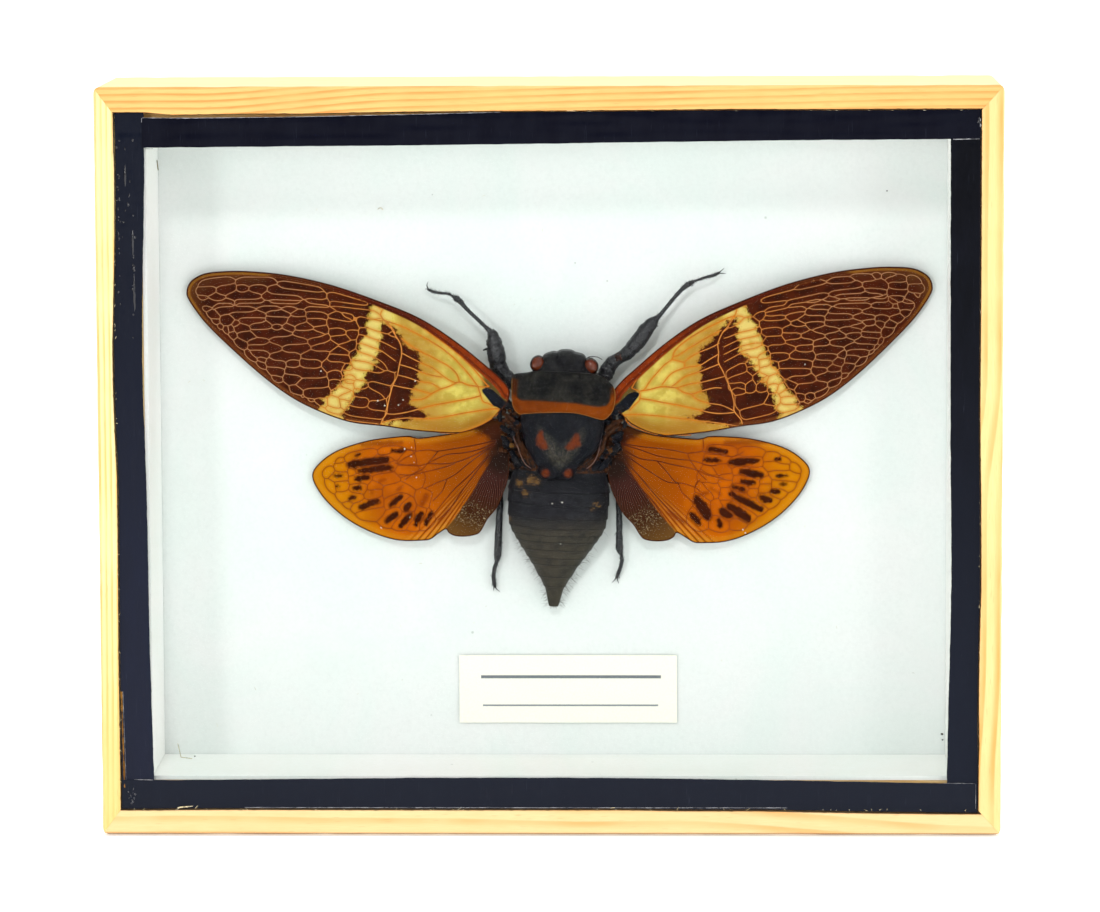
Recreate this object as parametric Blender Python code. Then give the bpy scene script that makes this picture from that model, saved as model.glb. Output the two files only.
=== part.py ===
"""A spread cicada in a glazed pine box frame.

The frame stands on its bottom rail. X runs along the frame, the glass faces -Y and +Z is up. The origin
is the middle of the frame's footprint. Every size in this file is in millimetres, and make_object turns
the finished meshes into metres. A height is measured from the backing card towards the glass.
"""

import math

import bmesh
import bpy
from mathutils import Vector
from mathutils.geometry import delaunay_2d_cdt

METRES = 0.001

# ---- Driving dimensions: the box ----
FRAME_WIDTH = 152.4
FRAME_HEIGHT = 127.0
FRAME_DEPTH = 31.8
WALL = {"top": 8.4, "bottom": 8.9, "left": 7.7, "right": 7.7}
LIP = {"top": 4.2, "bottom": 4.2, "left": 3.1, "right": 3.8}
RABBET_DEPTH = 3.2
MITRE_GAP = 0.05
CORNER_RADIUS = 1.2
FRONT_EDGE_RADIUS = 0.9
BACK_EDGE_RADIUS = 0.5
ARC_STEPS = 4

GLASS_THICK = 2.0
GLASS_SLACK = 0.3
TAPE_THICK = 0.15
TAPE_GAP = 0.05
TAPE_MARGIN = 0.2
# Distance from the frame's outer edge to each strip's inner edge, at its two ends: left then right for
# the level strips, bottom then top for the upright ones.
TAPE_INNER = {"top": (10.25, 9.1), "bottom": (9.5, 9.1), "left": (8.6, 8.1), "right": (9.1, 8.8)}

BACKING_DEPTH = 25.0
BACKING_THICK = 2.9
LINER_THICK = 0.7
LINER_GAP = 0.05
BACK_RABBET_WIDTH = 4.4
BACK_RABBET_DEPTH = 3.6
BACK_BOARD_THICK = 2.5
FIT_GAP = 0.1

LABEL_LEFT, LABEL_RIGHT = -16.4, 21.3
LABEL_BOTTOM, LABEL_TOP = 15.3, 27.1
LABEL_THICK = 0.3

# ---- Driving dimensions: the insect ----
BODY_CENTRE = (1.2, 58.0)
BODY_TURN = math.radians(3.0)
RING_POINTS = 24
ROUNDNESS = 2.2

# Abdomen and thorax from tail to face: distance along the body, half width, lowest and highest point.
TRUNK = [
    (-22.0, 0.9, 2.4, 3.4), (-21.3, 1.1, 2.0, 4.0), (-20.0, 1.4, 1.8, 4.5), (-18.4, 1.85, 1.5, 5.2),
    (-16.6, 2.85, 1.1, 6.3), (-14.4, 4.15, 0.9, 7.4), (-13.2, 4.95, 0.8, 8.0), (-11.7, 5.95, 0.6, 8.7),
    (-10.2, 6.9, 0.5, 9.4), (-9.0, 7.65, 0.4, 9.9), (-7.7, 8.25, 0.3, 10.3), (-6.0, 8.55, 0.3, 10.8),
    (-3.6, 8.7, 0.3, 11.0), (-1.4, 8.75, 0.3, 10.9), (0.4, 8.4, 0.3, 10.2), (2.0, 8.0, 0.3, 9.3),
    (4.0, 7.6, 0.3, 8.9), (8.0, 7.35, 0.3, 8.9), (12.0, 7.3, 0.3, 9.0), (15.0, 6.8, 0.5, 9.0),
    (17.6, 5.8, 0.9, 8.6), (19.4, 4.4, 1.8, 8.0), (21.0, 3.2, 2.2, 7.4), (22.0, 2.2, 3.0, 6.6),
]
SEGMENT_EDGES = (-18.4, -16.6, -14.4, -13.2, -11.7, -10.2, -9.0, -7.7, -6.0, -3.6, -1.4)
SEGMENT_STEP = 0.14
# The lower sides of the thorax, under the roots of the wings.
FLANKS = [
    (1.0, 7.6, 1.2, 5.4), (2.6, 8.8, 0.8, 5.6), (5.0, 9.3, 0.6, 5.8), (9.0, 9.3, 0.6, 5.8),
    (12.0, 9.0, 0.8, 5.8), (13.6, 8.0, 1.4, 5.6),
]
# The plates on the back, each with an outline of points sideways and along. The crown is the height of
# the rim at the middle and the fall is how much lower it is at the sides. The rise is gained over the
# width of the rim, and the slope is lost per millimetre beyond the brow.
SHIELDS = {
    "head": {
        "outline": [(-5.5, 17.5), (-5.7, 18.6), (-5.1, 19.3), (-4.5, 20.2), (-4.1, 21.2), (-3.64, 21.85),
                    (-2.95, 22.23), (-2.1, 22.5), (-1.5, 22.45), (-0.98, 22.75), (0.0, 22.9), (1.0, 22.84),
                    (1.6, 22.55), (2.18, 22.45), (3.05, 22.19), (3.6, 21.5), (4.1, 20.6), (5.0, 19.5),
                    (5.8, 18.9), (5.8, 18.2), (5.5, 17.5)],
        "crown": 9.6, "fall": 2.4, "rise": 0.8, "rim": 1.2, "brow": 19.5, "slope": 0.45, "bottom": 5.2,
    },
    "pronotum": {
        "outline": [(-8.9, 16.2), (-8.9, 17.9), (-8.55, 18.4), (-7.9, 18.6), (-6.3, 18.85), (-4.5, 19.3),
                    (0.0, 19.5), (4.8, 19.3), (6.7, 18.7), (7.75, 17.9), (8.55, 17.0), (8.89, 15.6),
                    (8.8, 13.9), (8.4, 12.75), (7.6, 11.85), (7.0, 11.55), (5.9, 11.75), (4.2, 12.25),
                    (2.4, 12.6), (0.15, 12.65), (-2.1, 12.5), (-4.4, 12.25), (-6.3, 11.95), (-7.4, 11.8),
                    (-8.3, 12.6), (-8.75, 13.9)],
        "crown": 11.7, "fall": 2.9, "rise": 0.9, "rim": 1.4, "brow": 14.0, "slope": 0.12, "bottom": 8.0,
    },
    "mesonotum": {
        "outline": [(-6.5, 13.2), (-7.1, 11.6), (-6.95, 9.5), (-6.1, 6.7), (-4.75, 4.2), (-3.7, 2.9),
                    (-3.8, 2.2), (-2.95, 1.1), (-1.5, 0.9), (0.0, 1.1), (1.6, 1.0), (2.5, 1.7), (3.0, 3.1),
                    (4.3, 4.35), (5.9, 5.85), (6.7, 7.6), (7.05, 9.4), (7.1, 11.1), (6.5, 13.2)],
        "crown": 10.4, "fall": 2.2, "rise": 1.6, "rim": 3.5, "brow": 12.0, "slope": 0.0, "bottom": 7.0,
    },
}
SHIELD_GRID = 1.5
EYES = [(-4.66, 20.41), (4.44, 20.45)]
EYE_HEIGHT, EYE_RADIUS = 8.0, 1.4

# Wing outlines in wing coordinates: outward from the hinge, and up. Both sides share them.
FOREWING = [
    (54.95, 17.85), (54.7, 19.0), (53.85, 20.1), (51.9, 21.1), (49.1, 21.5), (44.6, 21.57), (37.7, 20.95),
    (29.75, 19.25), (21.85, 16.63), (14.6, 13.7), (8.3, 9.7), (2.9, 5.4), (1.0, 3.8), (-0.75, 1.6),
    (-0.4, -0.6), (1.0, -2.2), (2.3, -3.6), (4.5, -4.9), (6.7, -5.7), (9.3, -6.05), (15.6, -5.7),
    (21.0, -5.0), (26.7, -4.4), (32.1, -2.6), (37.1, -0.1), (42.5, 3.9), (48.8, 9.6), (52.0, 12.9),
    (53.9, 15.45), (54.8, 17.0),
]
HINDWING = [
    (15.4, 2.95), (16.35, 3.15), (18.8, 2.95), (23.6, 2.2), (28.75, 0.45), (31.9, -1.8), (33.1, -4.0),
    (31.85, -6.85), (29.4, -9.65), (26.0, -12.2), (21.8, -14.15), (18.0, -15.1), (14.15, -15.05),
    (12.65, -14.8), (11.4, -13.9), (10.0, -13.0), (9.45, -13.65), (8.4, -14.15), (6.85, -14.25),
    (5.35, -14.05), (4.2, -13.6), (3.45, -12.5), (2.7, -11.1), (1.15, -9.15), (0.1, -6.8), (-0.6, -5.0),
    (-1.0, -3.0), (-1.1, -1.0), (-1.0, 1.6), (-0.85, 4.0), (-0.4, 5.4), (0.5, 6.2), (1.7, 6.3),
    (3.1, 5.7), (4.5, 5.0), (6.0, 4.4), (8.0, 3.85), (11.2, 3.3), (14.2, 2.85),
]
# Hinge across and up, which way is outward, turn about the hinge and relative size.
FOREWING_HINGE = {"left": (-8.0, 72.5, -1, 0.0, 1.0), "right": (11.04, 71.74, 1, math.radians(1.68), 0.996)}
HINDWING_HINGE = {"left": (-8.5, 62.5, -1, 0.0, 1.0), "right": (10.5, 61.47, 1, math.radians(3.1), 1.015)}
FOREWING_BASE, FOREWING_TIP, FOREWING_SPAN = 7.4, 1.3, 58.5
HINDWING_BASE, HINDWING_TIP, HINDWING_SPAN = 5.8, 1.2, 34.0
WING_THICK = 0.3
COSTA_THICK = 0.6
COSTA_REACH = 1.6
WING_GRID = 3.4

# Legs from body to foot: across, up, height above the backing and width.
FORELEG_LEFT = [
    (-6.0, 74.4, 3.6, 2.2), (-7.6, 75.5, 3.3, 2.5), (-9.15, 77.4, 3.4, 2.8), (-9.6, 80.0, 3.8, 2.9),
    (-9.95, 81.9, 4.0, 2.4), (-10.2, 83.2, 4.0, 1.7), (-10.65, 83.8, 4.0, 0.9), (-11.35, 84.5, 4.0, 0.65),
    (-12.4, 85.5, 4.0, 0.6), (-14.6, 87.6, 3.8, 0.62), (-15.65, 88.8, 3.6, 0.85), (-16.4, 89.4, 3.5, 1.0),
    (-17.1, 89.8, 3.4, 0.4), (-17.85, 90.2, 3.2, 0.42), (-19.3, 90.3, 2.8, 0.44), (-20.45, 90.5, 2.4, 0.46),
    (-21.35, 90.85, 2.0, 0.4),
]
FORELEG_RIGHT = [
    (8.9, 75.5, 3.4, 2.2), (9.4, 76.9, 3.4, 2.5), (10.3, 78.3, 3.6, 2.2), (11.6, 79.2, 3.8, 1.9),
    (12.8, 79.95, 4.0, 2.1), (13.95, 81.15, 4.0, 2.4), (15.0, 82.4, 4.0, 2.5), (16.05, 83.9, 4.0, 2.4),
    (17.2, 85.3, 4.0, 1.8), (17.95, 86.05, 4.0, 0.95), (18.7, 86.8, 4.0, 0.68), (20.5, 89.0, 3.8, 0.62),
    (21.55, 90.2, 3.6, 0.64), (22.6, 91.25, 3.5, 0.75), (23.4, 91.8, 3.4, 0.88), (23.95, 92.1, 3.3, 0.7),
    (24.5, 92.35, 3.2, 0.38), (26.25, 92.9, 2.8, 0.44), (27.55, 93.2, 2.4, 0.5), (28.6, 93.62, 2.0, 0.45),
]
HINDLEG_LEFT = [
    (-5.6, 58.4, 0.75, 1.1), (-7.4, 58.6, 1.1, 1.4), (-8.9, 58.3, 1.9, 1.3), (-9.2, 57.2, 2.2, 1.15),
    (-9.15, 53.75, 2.4, 1.1), (-9.45, 48.05, 2.4, 1.2), (-9.55, 45.6, 2.3, 1.25), (-9.65, 44.4, 2.2, 1.05),
    (-9.8, 43.6, 2.0, 0.65), (-10.15, 42.5, 1.8, 0.68), (-10.35, 41.0, 1.5, 0.66), (-10.25, 39.8, 1.2, 0.68),
    (-10.15, 39.1, 1.0, 0.5),
]
HINDLEG_RIGHT = [
    (7.6, 57.6, 0.75, 1.1), (9.6, 58.0, 1.1, 1.4), (11.0, 57.6, 1.9, 1.3), (11.3, 56.4, 2.2, 1.1),
    (11.4, 51.6, 2.4, 1.0), (11.42, 47.35, 2.4, 1.12), (11.42, 46.2, 2.3, 1.22), (11.5, 45.6, 2.2, 1.0),
    (11.72, 44.9, 2.0, 0.58), (11.85, 43.85, 1.8, 0.62), (11.6, 42.7, 1.6, 0.58), (11.2, 41.55, 1.3, 0.6),
    (10.92, 40.7, 1.0, 0.5),
]
# The middle legs are folded under the hind wings: sideways, along, height and width, the same on both sides.
MIDLEG = [
    (6.5, 6.0, 0.75, 1.1), (8.7, 6.4, 1.2, 1.3), (11.3, 6.2, 2.0, 1.1), (12.7, 5.2, 2.2, 0.8),
    (13.7, 2.6, 1.9, 0.6), (14.5, 0.2, 1.6, 0.75), (14.9, -0.7, 1.4, 0.42), (15.8, -2.6, 1.0, 0.42),
]
LIMB_DEPTH = 0.8
LIMB_SIDES = 8
SPUR_SIDES = 6

# Claws and spurs: where each starts, where it ends, and its width at the root.
CLAWS = {
    "foreleg_left": [((-21.2, 90.8, 2.1), (-21.55, 91.5, 1.6), (-21.35, 92.1, 1.0), 0.3),
                     ((-21.1, 90.8, 2.0), (-21.6, 90.9, 1.6), (-21.9, 90.8, 1.1), 0.28),
                     ((-10.3, 80.7, 3.9), (-11.2, 80.75, 3.9), (-11.9, 80.5, 3.9), 0.8),
                     ((-10.2, 82.0, 3.9), (-10.9, 82.2, 3.9), (-11.35, 82.1, 3.9), 0.7)],
    "foreleg_right": [((28.4, 93.55, 2.1), (29.0, 93.95, 1.6), (29.5, 94.35, 1.0), 0.28),
                      ((28.4, 93.6, 2.0), (29.15, 93.5, 1.5), (29.8, 93.4, 0.9), 0.28),
                      ((17.1, 84.9, 3.9), (17.7, 84.8, 3.9), (18.15, 84.6, 3.9), 0.8)],
    "hindleg_left": [((-10.2, 39.3, 1.1), (-10.35, 38.85, 0.8), (-10.45, 38.4, 0.45), 0.3),
                     ((-10.2, 39.3, 1.0), (-9.85, 38.7, 0.75), (-9.3, 38.2, 0.45), 0.28),
                     ((-9.2, 47.6, 2.4), (-8.95, 47.2, 2.4), (-8.65, 46.9, 2.4), 0.3)],
    "hindleg_right": [((11.0, 40.9, 1.1), (10.55, 40.3, 0.8), (10.05, 39.75, 0.45), 0.28),
                      ((10.95, 40.9, 1.0), (11.1, 40.2, 0.75), (11.25, 39.65, 0.45), 0.28),
                      ((11.2, 49.1, 2.4), (10.9, 48.7, 2.4), (10.6, 48.3, 2.4), 0.3)],
}
ANTENNA_RIGHT = [
    (5.9, 79.35, 7.6, 0.3), (6.4, 79.75, 7.9, 0.2), (7.1, 79.8, 7.8, 0.17), (7.9, 79.65, 7.4, 0.15),
    (8.6, 79.2, 6.8, 0.13),
]

# ---- Worked out from the driving dimensions ----
FRONT_Y = -FRAME_DEPTH / 2
BACK_Y = FRAME_DEPTH / 2
HALF_WIDTH = FRAME_WIDTH / 2
GLASS_FRONT_Y = FRONT_Y + RABBET_DEPTH - FIT_GAP - GLASS_THICK
BACKING_Y = FRONT_Y + BACKING_DEPTH
BACK_RABBET_Y = BACK_Y - BACK_RABBET_DEPTH

# Colour, roughness and metallic of each material.
FINISHES = {
    "pine": ((0.80, 0.53, 0.19), 0.5, 0.0),
    "glass": ((0.92, 0.97, 0.96), 0.03, 0.0),
    "black_tape": ((0.012, 0.014, 0.022), 0.25, 0.0),
    "white_card": ((0.82, 0.86, 0.85), 0.8, 0.0),
    "hardboard": ((0.23, 0.13, 0.07), 0.7, 0.0),
    "label_card": ((0.95, 0.94, 0.86), 0.7, 0.0),
    "black_cuticle": ((0.02, 0.02, 0.024), 0.4, 0.0),
    "forewing_membrane": ((0.10, 0.02, 0.01), 0.4, 0.0),
    "hindwing_membrane": ((0.60, 0.22, 0.02), 0.4, 0.0),
    "leg_cuticle": ((0.022, 0.022, 0.02), 0.4, 0.0),
}


def clear_scene():
    for old in list(bpy.data.objects):
        bpy.data.objects.remove(old, do_unlink=True)


def make_material(name):
    """The material of that name, made on its first use."""
    if name in bpy.data.materials:
        return bpy.data.materials[name]
    colour, roughness, metallic = FINISHES[name]
    material = bpy.data.materials.new(name)
    material.use_nodes = True
    shader = material.node_tree.nodes["Principled BSDF"]
    shader.inputs["Base Color"].default_value = (*colour, 1.0)
    shader.inputs["Roughness"].default_value = roughness
    shader.inputs["Metallic"].default_value = metallic
    material.diffuse_color = (*colour, 1.0)
    return material


def make_object(name, mesh, finish, smooth=False):
    """Turns a bmesh in millimetres into a named object in metres."""
    bmesh.ops.recalc_face_normals(mesh, faces=mesh.faces[:])
    bmesh.ops.scale(mesh, vec=(METRES, METRES, METRES), verts=mesh.verts[:])
    data = bpy.data.meshes.new(name)
    mesh.to_mesh(data)
    mesh.free()
    data.materials.append(make_material(finish))
    if smooth:
        data.shade_smooth()
        data.set_sharp_from_angle(angle=math.radians(50))
    made = bpy.data.objects.new(name, data)
    bpy.context.scene.collection.objects.link(made)
    return made


def combine(base, others, operation="UNION"):
    """Joins the others to the base, or keeps what they share with it, and takes them away."""
    for other in others:
        other.hide_render = True
        other.display_type = "WIRE"
        step = base.modifiers.new(other.name, "BOOLEAN")
        step.operation = operation
        step.solver = "EXACT"
        step.object = other
    bpy.context.view_layer.update()
    result = bpy.data.meshes.new_from_object(base.evaluated_get(bpy.context.evaluated_depsgraph_get()))
    base.modifiers.clear()
    base.data = result
    for other in others:
        bpy.data.objects.remove(other, do_unlink=True)
    return base


def prism(outline, front, back):
    """A solid between two depths, from an outline of points across and up."""
    mesh = bmesh.new()
    near = [mesh.verts.new((x, front, z)) for x, z in outline]
    far = [mesh.verts.new((x, back, z)) for x, z in outline]
    mesh.faces.new(near)
    mesh.faces.new(far[::-1])
    for i in range(len(outline)):
        j = (i + 1) % len(outline)
        mesh.faces.new((near[i], far[i], far[j], near[j]))
    return mesh


def rectangle(left, right, bottom, top):
    return [(left, bottom), (right, bottom), (right, top), (left, top)]


def arc(centre, radius, start, end):
    """Points on an arc, with the angles in degrees."""
    angles = [math.radians(start + (end - start) * i / ARC_STEPS) for i in range(ARC_STEPS + 1)]
    return [(centre[0] + radius * math.cos(a), centre[1] + radius * math.sin(a)) for a in angles]


# ---- The box ----


def rail_profile(side):
    """A rail's cross-section: distance in from the outer face, and depth along Y."""
    front, back = FRONT_EDGE_RADIUS, BACK_EDGE_RADIUS
    lip, wall = LIP[side], WALL[side]
    ledge = wall - BACK_RABBET_WIDTH
    return (
        arc((front, FRONT_Y + front), front, 180, 270)
        + [(lip, FRONT_Y), (lip, FRONT_Y + RABBET_DEPTH), (wall, FRONT_Y + RABBET_DEPTH)]
        + [(wall, BACK_RABBET_Y), (ledge, BACK_RABBET_Y), (ledge, BACK_Y)]
        + arc((back, BACK_Y - back), back, 90, 180)
    )


def rail_point(side, inward, depth, end):
    """A point of a rail's mitred end, where end is -1 or 1 along the rail."""
    if side in ("top", "bottom"):
        across = end * (HALF_WIDTH - inward - MITRE_GAP)
        up = FRAME_HEIGHT - inward if side == "top" else inward
        return (across, depth, up)
    across = HALF_WIDTH - inward if side == "right" else inward - HALF_WIDTH
    up = FRAME_HEIGHT / 2 + end * (FRAME_HEIGHT / 2 - inward - MITRE_GAP)
    return (across, depth, up)


def make_rail(side):
    mesh = bmesh.new()
    profile = rail_profile(side)
    rings = [[mesh.verts.new(rail_point(side, d, y, end)) for d, y in profile] for end in (-1, 1)]
    mesh.faces.new(rings[0])
    mesh.faces.new(rings[1][::-1])
    for i in range(len(profile)):
        j = (i + 1) % len(profile)
        mesh.faces.new((rings[0][i], rings[0][j], rings[1][j], rings[1][i]))
    rail = make_object("rail_" + side, mesh, "pine")
    return combine(rail, [make_object("corner_guide", corner_prism(), "pine")], "INTERSECT")


def corner_prism():
    """The frame's outer outline with rounded corners, deeper than the frame."""
    radius = CORNER_RADIUS
    right, top = HALF_WIDTH - radius, FRAME_HEIGHT - radius
    outline = (
        arc((right, top), radius, 0, 90)
        + arc((-right, top), radius, 90, 180)
        + arc((-right, radius), radius, 180, 270)
        + arc((right, radius), radius, 270, 360)
    )
    return prism(outline, FRONT_Y - 1, BACK_Y + 1)


def make_glass():
    inset = {side: LIP[side] + GLASS_SLACK for side in LIP}
    outline = rectangle(
        inset["left"] - HALF_WIDTH,
        HALF_WIDTH - inset["right"],
        inset["bottom"],
        FRAME_HEIGHT - inset["top"],
    )
    make_object("glass", prism(outline, GLASS_FRONT_Y, GLASS_FRONT_Y + GLASS_THICK), "glass")


def make_tapes():
    """Four strips on the glass. The level ones lie over the ends of the upright ones."""
    left, right = LIP["left"] + TAPE_MARGIN - HALF_WIDTH, HALF_WIDTH - LIP["right"] - TAPE_MARGIN
    bottom, top = LIP["bottom"] + TAPE_MARGIN, FRAME_HEIGHT - LIP["top"] - TAPE_MARGIN
    inner = TAPE_INNER
    under = GLASS_FRONT_Y - TAPE_GAP - TAPE_THICK
    over = under - TAPE_GAP - TAPE_THICK
    left_low, left_high = inner["left"][0] - HALF_WIDTH, inner["left"][1] - HALF_WIDTH
    right_low, right_high = HALF_WIDTH - inner["right"][0], HALF_WIDTH - inner["right"][1]
    top_left, top_right = FRAME_HEIGHT - inner["top"][0], FRAME_HEIGHT - inner["top"][1]
    bottom_left, bottom_right = inner["bottom"]
    strips = {
        "left": ([(left, bottom), (left_low, bottom), (left_high, top), (left, top)], under),
        "right": ([(right_low, bottom), (right, bottom), (right, top), (right_high, top)], under),
        "top": ([(left_high, top_left), (right, top_right), (right, top), (left_high, top)], over),
        "bottom": ([(left, bottom), (right, bottom), (right, bottom_right), (left, bottom_left)], over),
    }
    for side, (outline, front) in strips.items():
        make_object("tape_" + side, prism(outline, front, front + TAPE_THICK), "black_tape")


def make_lining():
    """The white card on the four walls and the backing card that the insect is fixed to."""
    left, right = WALL["left"] + LINER_GAP - HALF_WIDTH, HALF_WIDTH - WALL["right"] - LINER_GAP
    low, high = WALL["bottom"] + LINER_GAP, FRAME_HEIGHT - WALL["top"] - LINER_GAP
    front, back = FRONT_Y + RABBET_DEPTH + FIT_GAP, BACKING_Y - FIT_GAP
    side_low, side_high = low + LINER_THICK + LINER_GAP, high - LINER_THICK - LINER_GAP
    sheets = {
        "liner_bottom": rectangle(left, right, low, low + LINER_THICK),
        "liner_top": rectangle(left, right, high - LINER_THICK, high),
        "liner_left": rectangle(left, left + LINER_THICK, side_low, side_high),
        "liner_right": rectangle(right - LINER_THICK, right, side_low, side_high),
    }
    for name, outline in sheets.items():
        make_object(name, prism(outline, front, back), "white_card")
    card = rectangle(left, right, low, high)
    make_object("backing_card", prism(card, BACKING_Y, BACKING_Y + BACKING_THICK), "white_card")


def make_back_board():
    inset = {side: WALL[side] - BACK_RABBET_WIDTH + GLASS_SLACK for side in WALL}
    outline = rectangle(
        inset["left"] - HALF_WIDTH,
        HALF_WIDTH - inset["right"],
        inset["bottom"],
        FRAME_HEIGHT - inset["top"],
    )
    front = BACK_RABBET_Y + FIT_GAP
    make_object("back_board", prism(outline, front, front + BACK_BOARD_THICK), "hardboard")


def make_label():
    outline = rectangle(LABEL_LEFT, LABEL_RIGHT, LABEL_BOTTOM, LABEL_TOP)
    back = BACKING_Y - TAPE_GAP
    make_object("label", prism(outline, back - LABEL_THICK, back), "label_card")


# ---- The insect ----


def place(across, up, height):
    return Vector((across, BACKING_Y - height, up))


def body_point(side, along):
    """Body coordinates, sideways and along from the body's centre, to across and up in the box."""
    cos, sin = math.cos(BODY_TURN), math.sin(BODY_TURN)
    return (BODY_CENTRE[0] + side * cos + along * sin, BODY_CENTRE[1] - side * sin + along * cos)


def body_place(side, along, height):
    return place(*body_point(side, along), height)


def skin(mesh, rings):
    """Closes a run of equal rings into a solid."""
    for first, second in zip(rings, rings[1:]):
        for i in range(len(first)):
            j = (i + 1) % len(first)
            mesh.faces.new((first[i], first[j], second[j], second[i]))
    mesh.faces.new(rings[0][::-1])
    mesh.faces.new(rings[-1])


def body_loft(stations):
    """A solid through cross-sections that are rounded squares set across the body."""
    mesh = bmesh.new()
    rings = []
    for along, half_width, low, high in stations:
        middle, half_height = (low + high) / 2, (high - low) / 2
        ring = []
        for i in range(RING_POINTS):
            turn = 2 * math.pi * i / RING_POINTS
            cos, sin = math.cos(turn), math.sin(turn)
            side = half_width * math.copysign(abs(cos) ** (2 / ROUNDNESS), cos)
            rise = half_height * math.copysign(abs(sin) ** (2 / ROUNDNESS), sin)
            ring.append(mesh.verts.new(body_place(side, along, middle + rise)))
        rings.append(ring)
    skin(mesh, rings)
    return mesh


def segmented(stations):
    """Adds the small step down behind each abdominal ring, where it overlaps the next."""
    result = []
    for along, half_width, low, high in stations:
        if along in SEGMENT_EDGES:
            result.append((along - 0.12, half_width - SEGMENT_STEP, low + SEGMENT_STEP, high - SEGMENT_STEP))
            result.append((along + 0.12, half_width, low, high))
        else:
            result.append((along, half_width, low, high))
    return result


def smooth_closed(points, steps):
    """A closed curve through the points, with that many steps between each two."""
    result = []
    count = len(points)
    for i in range(count):
        p0, p1, p2, p3 = (Vector(points[(i + k) % count]) for k in (-1, 0, 1, 2))
        for step in range(steps):
            t = step / steps
            result.append(0.5 * (2 * p1 + (p2 - p0) * t + (2 * p0 - 5 * p1 + 4 * p2 - p3) * t * t
                                 + (3 * p1 - p0 - 3 * p2 + p3) * t ** 3))
    return result


def inside(point, outline):
    crossings = 0
    for a, b in zip(outline, outline[1:] + outline[:1]):
        if (a.y > point.y) != (b.y > point.y):
            crossings += point.x < a.x + (point.y - a.y) * (b.x - a.x) / (b.y - a.y)
    return crossings % 2 == 1


def edge_distance(point, outline):
    return min((point - corner).length for corner in outline)


def fill_points(outline, spacing):
    """Staggered points inside an outline, clear of its edge."""
    xs, ys = [p.x for p in outline], [p.y for p in outline]
    found = []
    rows = int((max(ys) - min(ys)) / spacing) + 2
    columns = int((max(xs) - min(xs)) / spacing) + 2
    for row in range(rows):
        for column in range(columns):
            point = Vector((min(xs) + (column + 0.5 * (row % 2)) * spacing, min(ys) + (row + 0.4) * spacing))
            if inside(point, outline) and edge_distance(point, outline) > 0.5 * spacing:
                found.append(point)
    return found


def shield(form):
    """A domed plate on the back, flat underneath."""
    outline = smooth_closed(form["outline"], 2)
    half_width = max(p.x for p in outline)
    points = outline + fill_points(outline, SHIELD_GRID)
    edges = [(i, (i + 1) % len(outline)) for i in range(len(outline))]
    verts, _, faces, *_ = delaunay_2d_cdt(points, edges, [], 1, 1e-6)
    mesh = bmesh.new()
    lower, upper = [], []
    for v in verts:
        inset = min(1.0, edge_distance(v, outline) / form["rim"])
        height = form["crown"] - form["fall"] * (v.x / half_width) ** 2
        height += form["rise"] * math.sqrt(1 - (1 - inset) ** 2)
        height -= form["slope"] * max(0.0, v.y - form["brow"])
        lower.append(mesh.verts.new(body_place(v.x, v.y, form["bottom"])))
        upper.append(mesh.verts.new(body_place(v.x, v.y, height)))
    close_layers(mesh, lower, upper, faces, edges)
    return mesh


def close_layers(mesh, lower, upper, faces, edges):
    """Joins two layers of the same points into a closed solid."""
    for face in faces:
        mesh.faces.new([upper[i] for i in face])
        mesh.faces.new([lower[i] for i in reversed(face)])
    for i, j in edges:
        mesh.faces.new((lower[i], lower[j], upper[j], upper[i]))


def make_body():
    body = make_object("cicada_body", body_loft(segmented(TRUNK)), "black_cuticle", smooth=True)
    forms = [make_object("flanks", body_loft(FLANKS), "black_cuticle", smooth=True)]
    for name, form in SHIELDS.items():
        forms.append(make_object(name, shield(form), "black_cuticle", smooth=True))
    for side, along in EYES:
        eye = bmesh.new()
        bmesh.ops.create_uvsphere(eye, u_segments=16, v_segments=10, radius=EYE_RADIUS)
        bmesh.ops.translate(eye, vec=body_place(side, along, EYE_HEIGHT), verts=eye.verts[:])
        forms.append(make_object("eye", eye, "black_cuticle", smooth=True))
    combine(body, forms)


def wing_point(hinge, out, up, height):
    across, level, side, turn, size = hinge
    cos, sin = math.cos(turn), math.sin(turn)
    return place(across + side * (out * cos - up * sin) * size, level + (out * sin + up * cos) * size, height)


def forewing_height(out, up):
    return FOREWING_TIP + (FOREWING_BASE - FOREWING_TIP) * max(0.0, 1 - out / FOREWING_SPAN) ** 1.5


def hindwing_height(out, up):
    reach = math.hypot(out, 0.8 * up) / HINDWING_SPAN
    return HINDWING_TIP + (HINDWING_BASE - HINDWING_TIP) * max(0.0, 1 - reach) ** 1.4


def leading_edge(outline, span):
    """The part of an outline that makes the wing's thick front margin."""
    top = max(range(len(outline)), key=lambda i: outline[i].y)
    return [p for i, p in enumerate(outline) if i <= top + span and p.y > 0.25 * p.x]


def make_wing(name, outline_points, hinge, height_at, costa):
    outline = smooth_closed(outline_points, 2)
    rim = leading_edge(outline, len(outline) // 2) if costa else []
    points = outline + fill_points(outline, WING_GRID)
    edges = [(i, (i + 1) % len(outline)) for i in range(len(outline))]
    verts, _, faces, *_ = delaunay_2d_cdt(points, edges, [], 1, 1e-6)
    mesh = bmesh.new()
    layers = []
    for sign in (-1, 1):
        layer = []
        for v in verts:
            near_rim = rim and edge_distance(v, rim) < COSTA_REACH
            thick = COSTA_THICK if near_rim else WING_THICK
            layer.append(mesh.verts.new(wing_point(hinge, v.x, v.y, height_at(v.x, v.y) + sign * thick / 2)))
        layers.append(layer)
    close_layers(mesh, *layers, faces, edges)
    make_object(name, mesh, name.split("_")[0] + "_membrane", smooth=True)


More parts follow.
